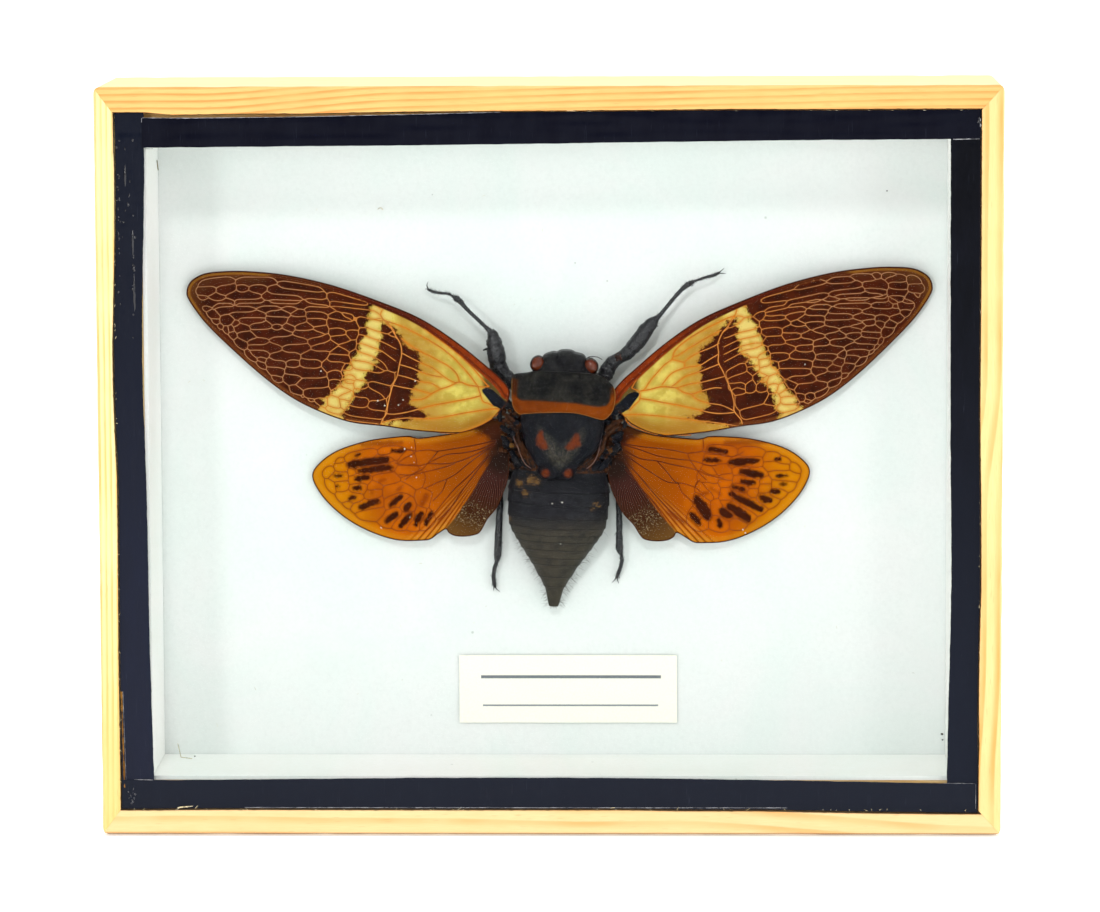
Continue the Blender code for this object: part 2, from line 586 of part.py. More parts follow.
def limb(stations, sides):
    """A tapering tube through its stations, a little flatter than wide."""
    mesh = bmesh.new()
    centres = [place(x, z, h) for x, z, h, _ in stations]
    rings = []
    for i, centre in enumerate(centres):
        ahead = centres[min(i + 1, len(centres) - 1)]
        behind = centres[max(i - 1, 0)]
        along = (ahead - behind).normalized()
        sideways = along.cross(Vector((0, -1, 0))).normalized()
        upward = sideways.cross(along).normalized()
        radius = stations[i][3] / 2
        ring = []
        for k in range(sides):
            turn = 2 * math.pi * (k + 0.5) / sides
            ring.append(mesh.verts.new(centre + sideways * radius * math.cos(turn)
                                       + upward * radius * LIMB_DEPTH * math.sin(turn)))
        rings.append(ring)
    skin(mesh, rings)
    return mesh


def make_leg(name, stations, claws=()):
    leg = make_object(name, limb(stations, LIMB_SIDES), "leg_cuticle", smooth=True)
    spurs = []
    for root, bend, tip, width in claws:
        points = [(*root, width), (*bend, 0.7 * width), (*tip, 0.25 * width)]
        spurs.append(make_object("spur", limb(points, SPUR_SIDES), "leg_cuticle"))
    if spurs:
        combine(leg, spurs)


def make_insect():
    make_body()
    for name, side in (("left", -1), ("right", 1)):
        make_wing("forewing_" + name, FOREWING, FOREWING_HINGE[name], forewing_height, costa=True)
        make_wing("hindwing_" + name, HINDWING, HINDWING_HINGE[name], hindwing_height, costa=False)
        midleg = [(*body_point(side * out, along), height, width) for out, along, height, width in MIDLEG]
        make_leg("midleg_" + name, midleg)
    legs = {
        "foreleg_left": FORELEG_LEFT,
        "foreleg_right": FORELEG_RIGHT,
        "hindleg_left": HINDLEG_LEFT,
        "hindleg_right": HINDLEG_RIGHT,
    }
    for name, stations in legs.items():
        make_leg(name, stations, CLAWS[name])
    make_object("antenna_right", limb(ANTENNA_RIGHT, SPUR_SIDES), "leg_cuticle", smooth=True)


def main():
    clear_scene()
    for side in LIP:
        make_rail(side)
    make_glass()
    make_tapes()
    make_lining()
    make_back_board()
    make_label()
    make_insect()


main()
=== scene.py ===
"""The looks of a spread cicada in a glazed pine box frame.

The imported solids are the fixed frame. Every size here is in millimetres in the same axes: X across, the
glass towards -Y, Z up. The height of a thing is measured from the backing card towards the glass.
"""

import math
import random

import bmesh
import bpy
import numpy as np
from mathutils import Matrix, Vector, kdtree, noise
from mathutils.geometry import delaunay_2d_cdt


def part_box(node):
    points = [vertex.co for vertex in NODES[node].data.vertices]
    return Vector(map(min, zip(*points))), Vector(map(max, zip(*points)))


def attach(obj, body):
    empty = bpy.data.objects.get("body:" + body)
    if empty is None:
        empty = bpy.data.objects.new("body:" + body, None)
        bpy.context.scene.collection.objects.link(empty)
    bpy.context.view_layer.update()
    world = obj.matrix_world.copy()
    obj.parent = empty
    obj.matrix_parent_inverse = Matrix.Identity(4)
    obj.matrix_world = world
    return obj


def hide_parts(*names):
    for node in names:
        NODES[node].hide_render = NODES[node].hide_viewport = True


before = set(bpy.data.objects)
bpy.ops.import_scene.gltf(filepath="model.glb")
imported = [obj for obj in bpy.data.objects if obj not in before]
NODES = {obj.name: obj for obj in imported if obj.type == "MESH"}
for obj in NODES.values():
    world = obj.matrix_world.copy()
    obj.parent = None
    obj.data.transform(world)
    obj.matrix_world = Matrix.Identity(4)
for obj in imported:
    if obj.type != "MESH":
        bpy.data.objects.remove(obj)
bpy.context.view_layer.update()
MM = 0.001

# ---- The box ----
FRAME_WIDTH, FRAME_HEIGHT = 152.4, 127.0
FRONT_Y, BACK_Y = -15.9, 15.9
HALF_WIDTH = FRAME_WIDTH / 2
WALL = {"top": 8.4, "bottom": 8.9, "left": 7.7, "right": 7.7}
BACK_RABBET = 4.4
LIP = {"top": 4.2, "bottom": 4.2, "left": 3.1, "right": 3.8}
LIP_BACK_Y, RABBET_Y = -12.7, 12.3
MITRE_GAP = 0.015
CORNER_RADIUS = 1.2
TAPE_INNER = {"top": (10.25, 9.1), "bottom": (9.5, 9.1), "left": (8.6, 8.1), "right": (9.1, 8.8)}
# How far the hand-cut inner edges stray inward from the straight: place along the side, then distance.
LIP_STRAY = {
    "top": [
        (-71, 0.1), (-66, 0.55), (-61, 0.5), (-52, 0.37), (-42.7, 0.4), (-33, 0.23), (-24, 0.1), (4, 0.0),
        (23, -0.12), (32, -0.2), (46, -0.14), (70, -0.18),
    ],
    "bottom": [
        (-72, 0.0), (-58, 0.1), (-20, 0.05), (13, 0.09), (23, -0.08), (37, -0.07), (46, -0.25), (56, -0.42),
        (70, -0.56),
    ],
    "left": [
        (7, 0.07), (28, 0.01), (52, 0.13), (61, 0.12), (69, -0.15), (77, -0.34), (85, -0.35), (89, -0.21),
        (97, 0.03), (105, 0.24), (117, 0.32), (121, 0.22),
    ],
    "right": [
        (7, 0.06), (12, -0.04), (20, 0.07), (28, 0.02), (36, -0.12), (40, -0.24), (48, -0.21), (57, -0.15),
        (65, 0.0), (73, 0.08), (93, 0.01), (121, 0.03),
    ],
}
TAPE_STRAY = {
    "top": [(-66, 0.02), (-40, 0.05), (-20, 0.09), (0, 0.03), (14, -0.03), (40, -0.1), (60, -0.03)],
    "bottom": [
        (-63, -0.14), (-48, 0.05), (-34, 0.22), (-20, 0.4), (4, 0.48), (18, 0.41), (32, 0.24), (46, 0.06),
        (60, -0.18), (70, -0.3),
    ],
    "left": [
        (11, 0.23), (20, 0.07), (32, -0.12), (57, -0.2), (65, -0.31), (73, -0.54), (81, -0.58), (89, -0.46),
        (97, -0.22), (105, 0.05), (113, 0.29),
    ],
    "right": [
        (12, 0.06), (24, -0.12), (32, -0.3), (40, -0.42), (48, -0.43), (57, -0.28), (65, -0.15),
        (81, -0.05), (97, 0.05), (117, 0.15),
    ],
}
UNDER_Y, OVER_Y = -15.0, -15.2
BACKING_Y = 9.1
LABEL = (-16.4, 21.3, 15.3, 27.1)
LABEL_Y = 8.75
LABEL_THICKNESS = 0.22
# Printed rules: left and right end, height, width and ink.
LABEL_RULES = ((-12.7, 18.6, 23.3, 0.55, "686e73"), (-12.4, 18.1, 18.3, 0.3, "7b8086"))
LEVEL = ("top", "bottom")
# The way in from each side, across and up.
INWARD = {"top": (0, -1), "bottom": (0, 1), "left": (1, 0), "right": (-1, 0)}
FRONT_ROUND, LIP_ROUND, BACK_ROUND = 0.9, 0.15, 0.5
MITRE_BEVEL = 0.015
RAIL_STEPS = 260
TAPE_THICKNESS = 0.12
# The upper edge of the top strip, across and up.
TOP_EDGE = [
    (-68, 121.75), (-66, 121.73), (-60, 121.69), (-43, 121.84), (-33, 122.04), (-24, 122.19), (-8, 122.57),
    (-2, 130),
]
# Pale lines along cut edges of the tape, painted highlights where the edges catch the light: their corners,
# their depth and their width.
TAPE_GLINT_LINES = (
    (TOP_EDGE[:-1], OVER_Y, 0.11), ([(-68.1, 121.0), (-68.1, 121.7)], OVER_Y, 0.1),
    ([(-70.7, 9.42), (-67.5, 9.36)], OVER_Y, 0.12), ([(67.6, 117.85), (72.0, 117.9)], OVER_Y, 0.17),
    ([(72.15, 119.9), (72.15, 121.3)], OVER_Y, 0.2), ([(71.9, 4.5), (71.9, 8.7)], OVER_Y, 0.07),
    ([(66.5, 8.88), (71.8, 8.82)], OVER_Y, 0.06), ([(-52, 4.62), (40, 4.62)], OVER_Y, 0.1),
    ([(-67.6, 116.55), (-66.2, 116.55)], UNDER_Y, 0.1), ([(-72.5, 24.5), (-72.1, 8.0)], UNDER_Y, 0.05),
)
# Clusters of blisters in the tape: across, up, spread across and up, depth and number.
BLISTERS = (
    (-72.2, 106, 0.3, 11, UNDER_Y, 22), (-70.8, 108, 1.6, 10, UNDER_Y, 12), (-69.8, 95, 0.3, 8, UNDER_Y, 12),
    (-71.4, 6.6, 0.8, 1.4, OVER_Y, 10), (72.0, 121.0, 0.3, 1.6, OVER_Y, 5),
)
# Upright ridges in the tape: across, up and length.
RIDGES = ((-69.85, 101.0, 5.0), (-69.7, 92.0, 7.0), (-71.0, 112.0, 4.0))
# Splinters on the frame's face: across, up, turn, length, width and depth.
CHIPS = (
    (-62.1, 4.75, 0.12, 2.7, 0.24, -15.45), (-63.5, 4.3, 0.6, 1.3, 0.12, -15.5),
    (-60.2, 4.7, 0.9, 0.8, 0.1, -15.5), (10.5, 4.65, 0.2, 0.8, 0.12, -15.5),
    (21.5, 4.5, 1.2, 0.6, 0.1, -15.5), (4.0, 122.75, 0.0, 1.8, 0.14, -15.5),
)
# A hair's points: the share of its length and the share of its bend.
HAIR_BEND = ((0, 0), (0.35, 0.1), (0.7, 0.45), (1, 1))
CARD_TOP = BACKING_Y - 0.12
# Loose fibres, in places across, deep and up.
FIBRES = (
    [(-65.5, 8.9, 11.5), (-65.05, 7.0, 10.65), (-64.6, 5.0, 9.78)],
    [(-64.6, 5.0, 9.78), (-62.6, 3.8, 9.75)],
    [(-30.0, CARD_TOP, 104.5), (-29.5, CARD_TOP, 104.8), (-29.1, CARD_TOP, 104.4)],
)
# Crumbs on the backing card: across, up and size.
CRUMBS = (
    (57.4, 107.5, 0.14), (3.9, 95.2, 0.1), (9.4, 92.1, 0.1), (67.2, 13.2, 0.22), (67.3, 12.2, 0.16),
    (-20.6, 107.0, 0.08),
)

# ---- The insect ----
BODY_CENTRE = (1.2, 58.0)
BODY_TURN = math.radians(3.0)
BODY = ("black_cuticle", ["cicada_body"])
ROUNDNESS = 2.2
PLATE_STEP = 0.2
TRUNK = [
    (-22.0, 0.9, 2.4, 3.4), (-21.3, 1.1, 2.0, 4.0), (-20.0, 1.4, 1.8, 4.5), (-18.4, 1.85, 1.5, 5.2),
    (-16.6, 2.85, 1.1, 6.3), (-14.4, 4.15, 0.9, 7.4), (-13.2, 4.95, 0.8, 8.0), (-11.7, 5.95, 0.6, 8.7),
    (-10.2, 6.9, 0.5, 9.4), (-9.0, 7.65, 0.4, 9.9), (-7.7, 8.25, 0.3, 10.3), (-6.0, 8.55, 0.3, 10.8),
    (-3.6, 8.7, 0.3, 11.0), (-1.4, 8.75, 0.3, 10.9), (0.4, 8.4, 0.3, 10.2), (2.0, 8.0, 0.3, 9.3),
    (4.0, 7.6, 0.3, 8.9), (8.0, 7.35, 0.3, 8.9), (12.0, 7.3, 0.3, 9.0), (15.0, 6.8, 0.5, 9.0),
    (17.6, 5.8, 0.9, 8.6), (19.4, 4.4, 1.8, 8.0), (21.0, 3.2, 2.2, 7.4), (22.0, 2.2, 3.0, 6.6),
]
SEGMENT_EDGES = (-18.4, -16.6, -14.4, -13.2, -11.7, -10.2, -9.0, -7.7, -6.0, -3.6, -1.4)
FLANKS = [
    (1.0, 7.6, 1.2, 5.4), (2.6, 8.8, 0.8, 5.6), (5.0, 9.3, 0.6, 5.8), (9.0, 9.3, 0.6, 5.8),
    (12.0, 9.0, 0.8, 5.8), (13.6, 8.0, 1.4, 5.6),
]
SHIELDS = {
    "head": {
        "outline": [(-5.5, 17.5), (-5.7, 18.6), (-5.1, 19.3), (-4.5, 20.2), (-4.1, 21.2), (-3.64, 21.85),
                    (-2.95, 22.23), (-2.1, 22.5), (-1.5, 22.45), (-0.98, 22.75), (0.0, 22.9), (1.0, 22.84),
                    (1.6, 22.55), (2.18, 22.45), (3.05, 22.19), (3.6, 21.5), (4.1, 20.6), (5.0, 19.5),
                    (5.8, 18.9), (5.8, 18.2), (5.5, 17.5)],
        "crown": 9.6, "fall": 2.4, "rise": 0.8, "rim": 1.2, "brow": 19.5, "slope": 0.45, "bottom": 5.2,
    },
    "pronotum": {
        "outline": [(-8.9, 16.2), (-8.9, 17.9), (-8.55, 18.4), (-7.9, 18.6), (-6.3, 18.85), (-4.5, 19.3),
                    (0.0, 19.5), (4.8, 19.3), (6.7, 18.7), (7.75, 17.9), (8.55, 17.0), (8.89, 15.6),
                    (8.8, 13.9), (8.4, 12.75), (7.6, 11.85), (7.0, 11.55), (5.9, 11.75), (4.2, 12.25),
                    (2.4, 12.6), (0.15, 12.65), (-2.1, 12.5), (-4.4, 12.25), (-6.3, 11.95), (-7.4, 11.8),
                    (-8.3, 12.6), (-8.75, 13.9)],
        "crown": 11.7, "fall": 2.9, "rise": 0.9, "rim": 1.4, "brow": 14.0, "slope": 0.12, "bottom": 8.0,
    },
    "mesonotum": {
        "outline": [(-6.5, 13.2), (-7.1, 11.6), (-6.95, 9.5), (-6.1, 6.7), (-4.75, 4.2), (-3.7, 2.9),
                    (-3.8, 2.2), (-2.95, 1.1), (-1.5, 0.9), (0.0, 1.1), (1.6, 1.0), (2.5, 1.7), (3.0, 3.1),
                    (4.3, 4.35), (5.9, 5.85), (6.7, 7.6), (7.05, 9.4), (7.1, 11.1), (6.5, 13.2)],
        "crown": 10.4, "fall": 2.2, "rise": 1.6, "rim": 3.5, "brow": 12.0, "slope": 0.0, "bottom": 7.0,
    },
}
# Tan blots on the abdomen: across, up and radius.
BLOTS = (
    (-4.6, 56.6, 0.45), (-3.7, 58.8, 0.6), (-2.6, 58.5, 0.45), (-5.6, 58.2, 0.5), (-7.4, 51.9, 0.2),
    (7.3, 54.7, 0.2), (8.0, 54.3, 0.15), (7.0, 53.8, 0.1),
)
# Mounds of the head: sideways, along, two radii and height.
HEAD_MOUNDS = (
    (0.0, 21.9, 1.5, 0.7, 0.5), (-2.3, 21.5, 0.9, 0.8, 0.35), (2.4, 21.5, 0.9, 0.8, 0.35),
    (-0.5, 19.9, 0.25, 0.25, 0.16), (0.5, 19.9, 0.25, 0.25, 0.16), (0.0, 20.6, 0.22, 0.22, 0.16),
)
# The dark middle of the neck shield, sideways and along.
DISC = [
    (-9.6, 17.7), (-7.9, 17.6), (-8.0, 16.0), (-7.97, 14.9), (-7.6, 14.4), (-6.95, 14.21), (-4.06, 14.41),
    (0.25, 14.43), (2.35, 14.34), (4.57, 14.01), (6.03, 13.83), (7.48, 14.01), (8.0, 14.7), (8.11, 15.25),
    (8.2, 16.5), (8.2, 17.0), (9.6, 17.1), (9.6, 24.0), (-9.6, 24.0),
]
# Marks, knobs and seams of the back, across and up.
TRIANGLES = [
    [(-2.1, 67.3), (-1.55, 67.6), (-1.3, 66.3), (-0.6, 64.85), (-0.7, 64.4), (-1.55, 64.3), (-2.45, 65.0),
     (-2.6, 65.8)],
    [(4.15, 67.1), (4.7, 66.85), (4.95, 65.0), (3.55, 64.25), (2.7, 64.25), (2.4, 64.85), (3.3, 65.7)],
]
KNOBS = [(-1.05, 60.2), (2.85, 60.15)]
SIDE_LINES = [
    [(-6.6, 66.2), (-6.3, 65.2), (-5.85, 64.3), (-5.35, 62.95), (-4.5, 61.35), (-3.05, 60.35), (-2.3, 59.9)],
    [(8.5, 66.3), (8.4, 65.4), (8.15, 64.4), (7.85, 63.1), (7.0, 61.5), (5.4, 60.2), (4.1, 59.4)],
]
# Folds of the wing hinges: colour, width, and a line sideways and along.
FOLDS = [
    ("black", 0.8, [(11.6, 13.9), (9.8, 13.2), (7.7, 12.6)]),
    ("black", 0.5, [(10.6, 13.2), (10.9, 11.6), (10.6, 10.0)]),
    ("brown", 0.42, [(10.3, 11.3), (9.1, 10.9), (8.1, 10.1), (7.4, 9.2)]),
    ("brown", 0.4, [(10.0, 10.2), (9.0, 9.9), (8.2, 9.1), (7.5, 8.3)]),
    ("black", 0.5, [(10.5, 9.2), (9.5, 8.6), (8.5, 8.2)]),
    ("black", 0.6, [(9.9, 7.3), (9.4, 6.4), (8.9, 5.4)]),
    ("black", 0.3, [(8.6, 6.8), (9.3, 6.2), (9.7, 6.9), (9.1, 7.4)]),
    ("tan", 0.4, [(8.9, 6.4), (8.5, 6.0), (8.2, 5.8)]),
    ("brown", 0.4, [(7.6, 8.8), (7.3, 7.2), (6.6, 5.4), (5.6, 4.1)]),
    ("brown", 0.35, [(7.2, 7.6), (6.7, 6.2), (5.7, 4.8)]),
    ("black", 0.6, [(8.4, 5.0), (7.6, 3.6), (6.6, 2.6)]),
    ("black", 0.5, [(6.9, 4.0), (5.9, 2.9), (4.9, 2.2)]),
]
EYES = [(-4.66, 20.41), (4.44, 20.45)]
EYE_HEIGHT = 8.0
FOREWING = [
    (54.95, 17.85), (54.7, 19.0), (53.85, 20.1), (51.9, 21.1), (49.1, 21.5), (44.6, 21.57), (37.7, 20.95),
    (29.75, 19.25), (21.85, 16.63), (14.6, 13.7), (8.3, 9.7), (2.9, 5.4), (1.0, 3.8), (-0.75, 1.6),
    (-0.4, -0.6), (1.0, -2.2), (2.3, -3.6), (4.5, -4.9), (6.7, -5.7), (9.3, -6.05), (15.6, -5.7),
    (21.0, -5.0), (26.7, -4.4), (32.1, -2.6), (37.1, -0.1), (42.5, 3.9), (48.8, 9.6), (52.0, 12.9),
    (53.9, 15.45), (54.8, 17.0),
]
HINDWING = [
    (15.4, 2.95), (16.35, 3.15), (18.8, 2.95), (23.6, 2.2), (28.75, 0.45), (31.9, -1.8), (33.1, -4.0),
    (31.85, -6.85), (29.4, -9.65), (26.0, -12.2), (21.8, -14.15), (18.0, -15.1), (14.15, -15.05),
    (12.65, -14.8), (11.4, -13.9), (10.0, -13.0), (9.45, -13.65), (8.4, -14.15), (6.85, -14.25),
    (5.35, -14.05), (4.2, -13.6), (3.45, -12.5), (2.7, -11.1), (1.15, -9.15), (0.1, -6.8), (-0.6, -5.0),
    (-1.0, -3.0), (-1.1, -1.0), (-1.0, 1.6), (-0.85, 4.0), (-0.4, 5.4), (0.5, 6.2), (1.7, 6.3),
    (3.1, 5.7), (4.5, 5.0), (6.0, 4.4), (8.0, 3.85), (11.2, 3.3), (14.2, 2.85),
]
FOREWING_HINGE = {"left": (-8.0, 72.5, -1, 0.0, 1.0), "right": (11.04, 71.74, 1, math.radians(1.68), 0.996)}
HINDWING_HINGE = {"left": (-8.5, 62.5, -1, 0.0, 1.0), "right": (10.5, 61.47, 1, math.radians(3.1), 1.015)}

# The cells of the wing network in wing coordinates: each is the middle line of one cell. The veins run
# between neighbouring cells. The longer veins near the base are given as lines.
FOREWING_CELLS = {
    "left": [
        (52.4, 19.4, 47.4, 20.1), (45.4, 19.9, 40, 20.2), (38.3, 19.3, 31.8, 18.5),
        (52.4, 18.2, 50.4, 18.3), (49.2, 18.2, 46.9, 18.4), (45.8, 18.5, 44.8, 18.6),
        (43.5, 18.4, 41.7, 18.4), (40.3, 18.2, 31.4, 17.4), (52.4, 16.7, 51.9, 16.4),
        (50.3, 16.8, 48.9, 16.8), (47.4, 17.3, 42.7, 17.3), (41.3, 17.2, 35.6, 17),
        (33.8, 16.4, 22.7, 14.3), (51.8, 15.3, 51.4, 14.9), (49.9, 15.9, 41.8, 16.2),
        (40.3, 16.2, 35.6, 16.1), (49.4, 14.8, 43.8, 15), (42, 15.2, 39.3, 15.3),
        (37.9, 15.3, 36.3, 15), (34.1, 15.3, 29.6, 15), (47, 14.1, 42, 14), (40.5, 14.3, 37.8, 14.2),
        (36.2, 14.4, 34.8, 14.4), (33.6, 14.2, 31.4, 14.1), (29.7, 14.2, 25.7, 13.3),
        (45.5, 13, 42, 13.1), (40.6, 13.2, 37.8, 13.2), (37.3, 12.9, 34.9, 13.2),
        (33.6, 12.8, 31.4, 12.9), (29.9, 12.7, 26, 12.3), (51.2, 14.3, 50, 13.8),
        (48.2, 13.4, 47.2, 13.4), (46.6, 12.5, 46.1, 12.5), (46.3, 11.8, 44.8, 11.8),
        (43.5, 12.1, 40.8, 12.3), (39.7, 11.8, 39.1, 11.8), (37.8, 11.8, 36.9, 11.8),
        (35.5, 12, 33.6, 12.1), (32.4, 11.5, 31.2, 11.5), (29.4, 11.2, 28.2, 11.2),
        (26.8, 10.9, 25.8, 10.7), (50.2, 12.9, 49.8, 12.6), (49.5, 12, 49.2, 11.7),
        (48.4, 11.4, 48.2, 11.2), (47.4, 11.5, 47.3, 11.4), (43.3, 10.8, 37.6, 11),
        (35.6, 10.7, 31.7, 10.9), (45.5, 10.5, 43.3, 10.4), (47, 10.4, 46.8, 10.3),
        (29.2, 10, 27.5, 9.9), (39.8, 9.6, 34.9, 9.7), (33.3, 9.4, 31.2, 9.9), (43.7, 9.4, 41.6, 9.3),
        (46.3, 9.2, 45.3, 8.6), (37.6, 8.2, 34.4, 8.4), (32.5, 8.5, 29.7, 8.8), (27.7, 8.8, 26.2, 8.7),
        (43.6, 8.4, 39.4, 8.4), (43.5, 7.5, 41.4, 7.4), (39.9, 6.7, 36.2, 7), (34.4, 7, 31, 7.2),
        (29.2, 7.9, 27.7, 7.8), (30.2, 6.7, 27.5, 6.7), (44.8, 7.3, 43.6, 6.2), (42.2, 6.5, 42, 6.4),
        (40.6, 5.6, 38.4, 5.6), (37.3, 5.7, 36, 5.7), (34.9, 5.7, 32.4, 5.7), (31, 5.3, 28.2, 5.4),
        (42.7, 5.4, 41.9, 5), (40.6, 4.4, 38.9, 4.4), (37.2, 4.3, 31.7, 4), (29.7, 3.9, 28.5, 3.8),
        (40.4, 3, 39.2, 2.4), (37.7, 3.1, 35.9, 3.2), (35.2, 2.2, 31.2, 2.4), (29.8, 2.3, 29.1, 2.3),
        (37.4, 0.8, 35.7, 0.8), (34, 0.6, 31.3, 0.6), (35.4, -0.5, 35.1, -0.6),
        (33.9, -0.9, 33.7, -1.1), (32.1, -0.7, 31.5, -1.5), (27.8, 5.1, 26.8, 5), (27.5, 3.8, 26, 3.7),
        (28, 2.2, 26.7, 2.3), (28.8, 0.9, 27.3, 0.8), (30, -1, 28.8, -1.3), (29.9, 17.4, 23.7, 15.9),
        (31, -2.4, 28.6, -2.9), (27.9, 13.9, 24.7, 13, 22.3, 12.3, 19.3, 11.6),
        (24.2, 11.3, 21, 10.2, 18.7, 9.4), (25, 10.2, 21, 8.8, 18.5, 6.8),
        (25.2, 8.6, 21.6, 7.3, 18.8, 5.5), (26.2, 7.2, 23.5, 6.6, 21.4, 5.4),
        (25.8, 5.6, 23.5, 5.4, 21.8, 4.8), (28, 4, 23.6, 3.7, 19.6, 3), (28, 2.2, 26.5, 2.1),
        (25.7, 2.1, 24.1, 1.8), (23.1, 2, 19.9, 0.9), (25.3, 0.7, 23.6, 1, 21.9, 0),
        (26.1, -0.8, 24.1, -1), (23.2, -1.4, 20.9, -1.5), (27.1, -2.5, 21.1, -3.2),
        (28.1, -4.1, 22.1, -4.7), (19.9, 12.1, 19.2, 11.1), (28, 0.4, 26.8, 0.3),
        (28.3, -1.1, 27.6, -1.5),
    ],
    "right": [
        (31.6, 18.8, 35.8, 19.7), (37.6, 19.7, 41, 19.5), (41.3, 20.3, 44.5, 19.8),
        (45, 20.4, 45.7, 20.3), (46.7, 20.2, 48.2, 20), (47.4, 19.7, 49.9, 19.4),
        (51.1, 19.4, 52.3, 19.1), (25.7, 16.6, 36.3, 18.2, 42.2, 18.7), (43.4, 18.6, 46.9, 18.3),
        (43.9, 17.6, 46.6, 17.2), (47.9, 18.3, 50.1, 18.1), (51.5, 17.9, 52.8, 17.4),
        (47.6, 17.2, 49.8, 16.9), (37.7, 17.3, 42.7, 17.6), (40.2, 16.1, 43.9, 16),
        (44.9, 16.3, 48.5, 15.9), (38.5, 16.9, 45.9, 16.7), (26.6, 15.1, 32.5, 16.2, 36.3, 17),
        (33.3, 15.9, 35.3, 16.2), (36.4, 16.1, 38.7, 16), (34.2, 15.2, 36.9, 15.2),
        (38.4, 15.2, 43.8, 15), (44.8, 15.1, 47.5, 14.8), (48.4, 14.7, 48.5, 14.7),
        (49.5, 14.9, 51.2, 14.6), (50, 16.1, 50.5, 16), (50.2, 15.4, 51, 15.3),
        (52.3, 16.6, 52.5, 16.1), (26.6, 14.1, 32.5, 15), (37.4, 14.4, 42.1, 14.1),
        (33.5, 14.2, 36.2, 14.2), (43.3, 14, 48.7, 13.7), (25.3, 13.9, 25.6, 14),
        (26.3, 13.5, 29, 13.6), (30, 13.6, 32.2, 14), (36.6, 13.3, 40.6, 13.3), (41.6, 13.1, 44.5, 13),
        (45.4, 12.9, 46.7, 12.8), (48, 12.7, 49.4, 12.8), (49.7, 13.4, 50.7, 13.5),
        (32.2, 13.1, 35.7, 13.1), (25.6, 12.6, 29.7, 12.6), (31, 12.3, 32.2, 12.2),
        (33.4, 12.1, 35.6, 12.1), (36.9, 12.2, 42, 12.1), (43.3, 12.2, 44.3, 12.2),
        (45.4, 12, 46, 11.7), (47, 11.7, 47.9, 11.7), (41, 11.5, 42.8, 11.6), (39.5, 10.9, 41.8, 11),
        (43.2, 10.8, 45.2, 10.7), (29.5, 11.4, 32.9, 11.5), (34.9, 11.1, 37.8, 11),
        (25.8, 11, 28.2, 11.3), (32.6, 10.2, 35.6, 10.1), (29.4, 10.2, 31.6, 10.2),
        (36.8, 10.1, 39.3, 10), (40.3, 9.9, 42, 9.9), (43, 10.1, 45.2, 10), (46.7, 10.2, 47.7, 10.4),
        (25.7, 9.8, 28.7, 9.4), (30.1, 9.2, 33.6, 9.2), (34.8, 9, 36.5, 9), (37.5, 8.9, 40.5, 8.9),
        (41.9, 8.9, 44.7, 8.8), (26.9, 8.2, 30.6, 8.2), (31.6, 8.1, 33.5, 8), (34.5, 7.8, 38.7, 7.5),
        (40.2, 8.1, 44.1, 7.9), (38.7, 6.9, 39.4, 6.7), (40.4, 7, 43.1, 7), (45.6, 8.5, 46, 8.5),
        (45, 7.8, 45.4, 7.8), (44.1, 6.9, 44.4, 6.8), (27.1, 6.8, 29.3, 6.7), (30.6, 7, 33.8, 6.7),
        (35.2, 6.4, 37.7, 6.3), (40.1, 6, 41.4, 6.1), (37.7, 5.6, 38.9, 5.3), (42.1, 4.9, 43.1, 5.6),
        (28.5, 5.5, 33.2, 5.4), (34.5, 5.3, 36.9, 5.4), (27.1, 5.8, 27.6, 5.3), (39.4, 4.5, 40.6, 4.2),
        (34.4, 4, 35.9, 4), (36.9, 4.3, 38.1, 4.2), (29, 4, 32.9, 3.8), (35.1, 3, 38.1, 3.3),
        (30.4, 2.8, 33.9, 2.8), (39.6, 2.8, 40.1, 2.8), (29.7, 1.9, 30.7, 1.7), (31.1, 1.1, 35.8, 1.4),
        (37.1, 1.6, 38.6, 1.8), (31.6, -0.4, 32.1, -0.6), (33.1, -0.3, 34, -0.7),
        (34.5, -0.5, 36.3, 0.4), (32.8, -1.4, 33.5, -1.4), (25.4, 7.1, 26.4, 7.2),
        (25.1, 5.9, 26.3, 6), (25.3, 4.4, 26.8, 4.5), (26.3, 2.8, 28, 3), (25.3, 3.1, 25.8, 3.1),
        (26.5, 1.6, 27.5, 1.5), (27.9, 1.3, 29.2, 1.5), (28.9, 0.5, 30.1, 0.4),
        (28.9, -0.7, 30.8, -0.8), (28.3, -2.5, 31.3, -2.3), (19.9, 12.7, 20.7, 13.5),
        (19.2, 11, 21.1, 11.8, 24.3, 12.3), (18.3, 9.4, 21.3, 10.6, 24.8, 11.3),
        (18.3, 8, 21.5, 9.5, 25.7, 10), (18.3, 6.8, 21.2, 8.1, 24.5, 9),
        (18.5, 5.4, 21.2, 6.9, 22.4, 7.3), (19.4, 4, 22.1, 5.1), (19.9, 3.2, 22.8, 3.6),
        (19.3, 1.8, 21.8, 1.9), (20.1, 1.7, 21.5, 1.7), (22.8, 1.9, 23.8, 1.8), (24.5, 1.6, 25.5, 1.8),
        (20.7, -0.8, 25.4, -0.2), (21.9, -3.3, 26.6, -2), (26.1, -1, 27.6, -0.6),
        (21.7, 7.9, 23.9, 8, 25.7, 8.2), (23.1, 5.8, 24.4, 5.8), (23.1, 4.6, 24.1, 5),
        (24.3, 3.3, 25.5, 3.5),
    ],
}
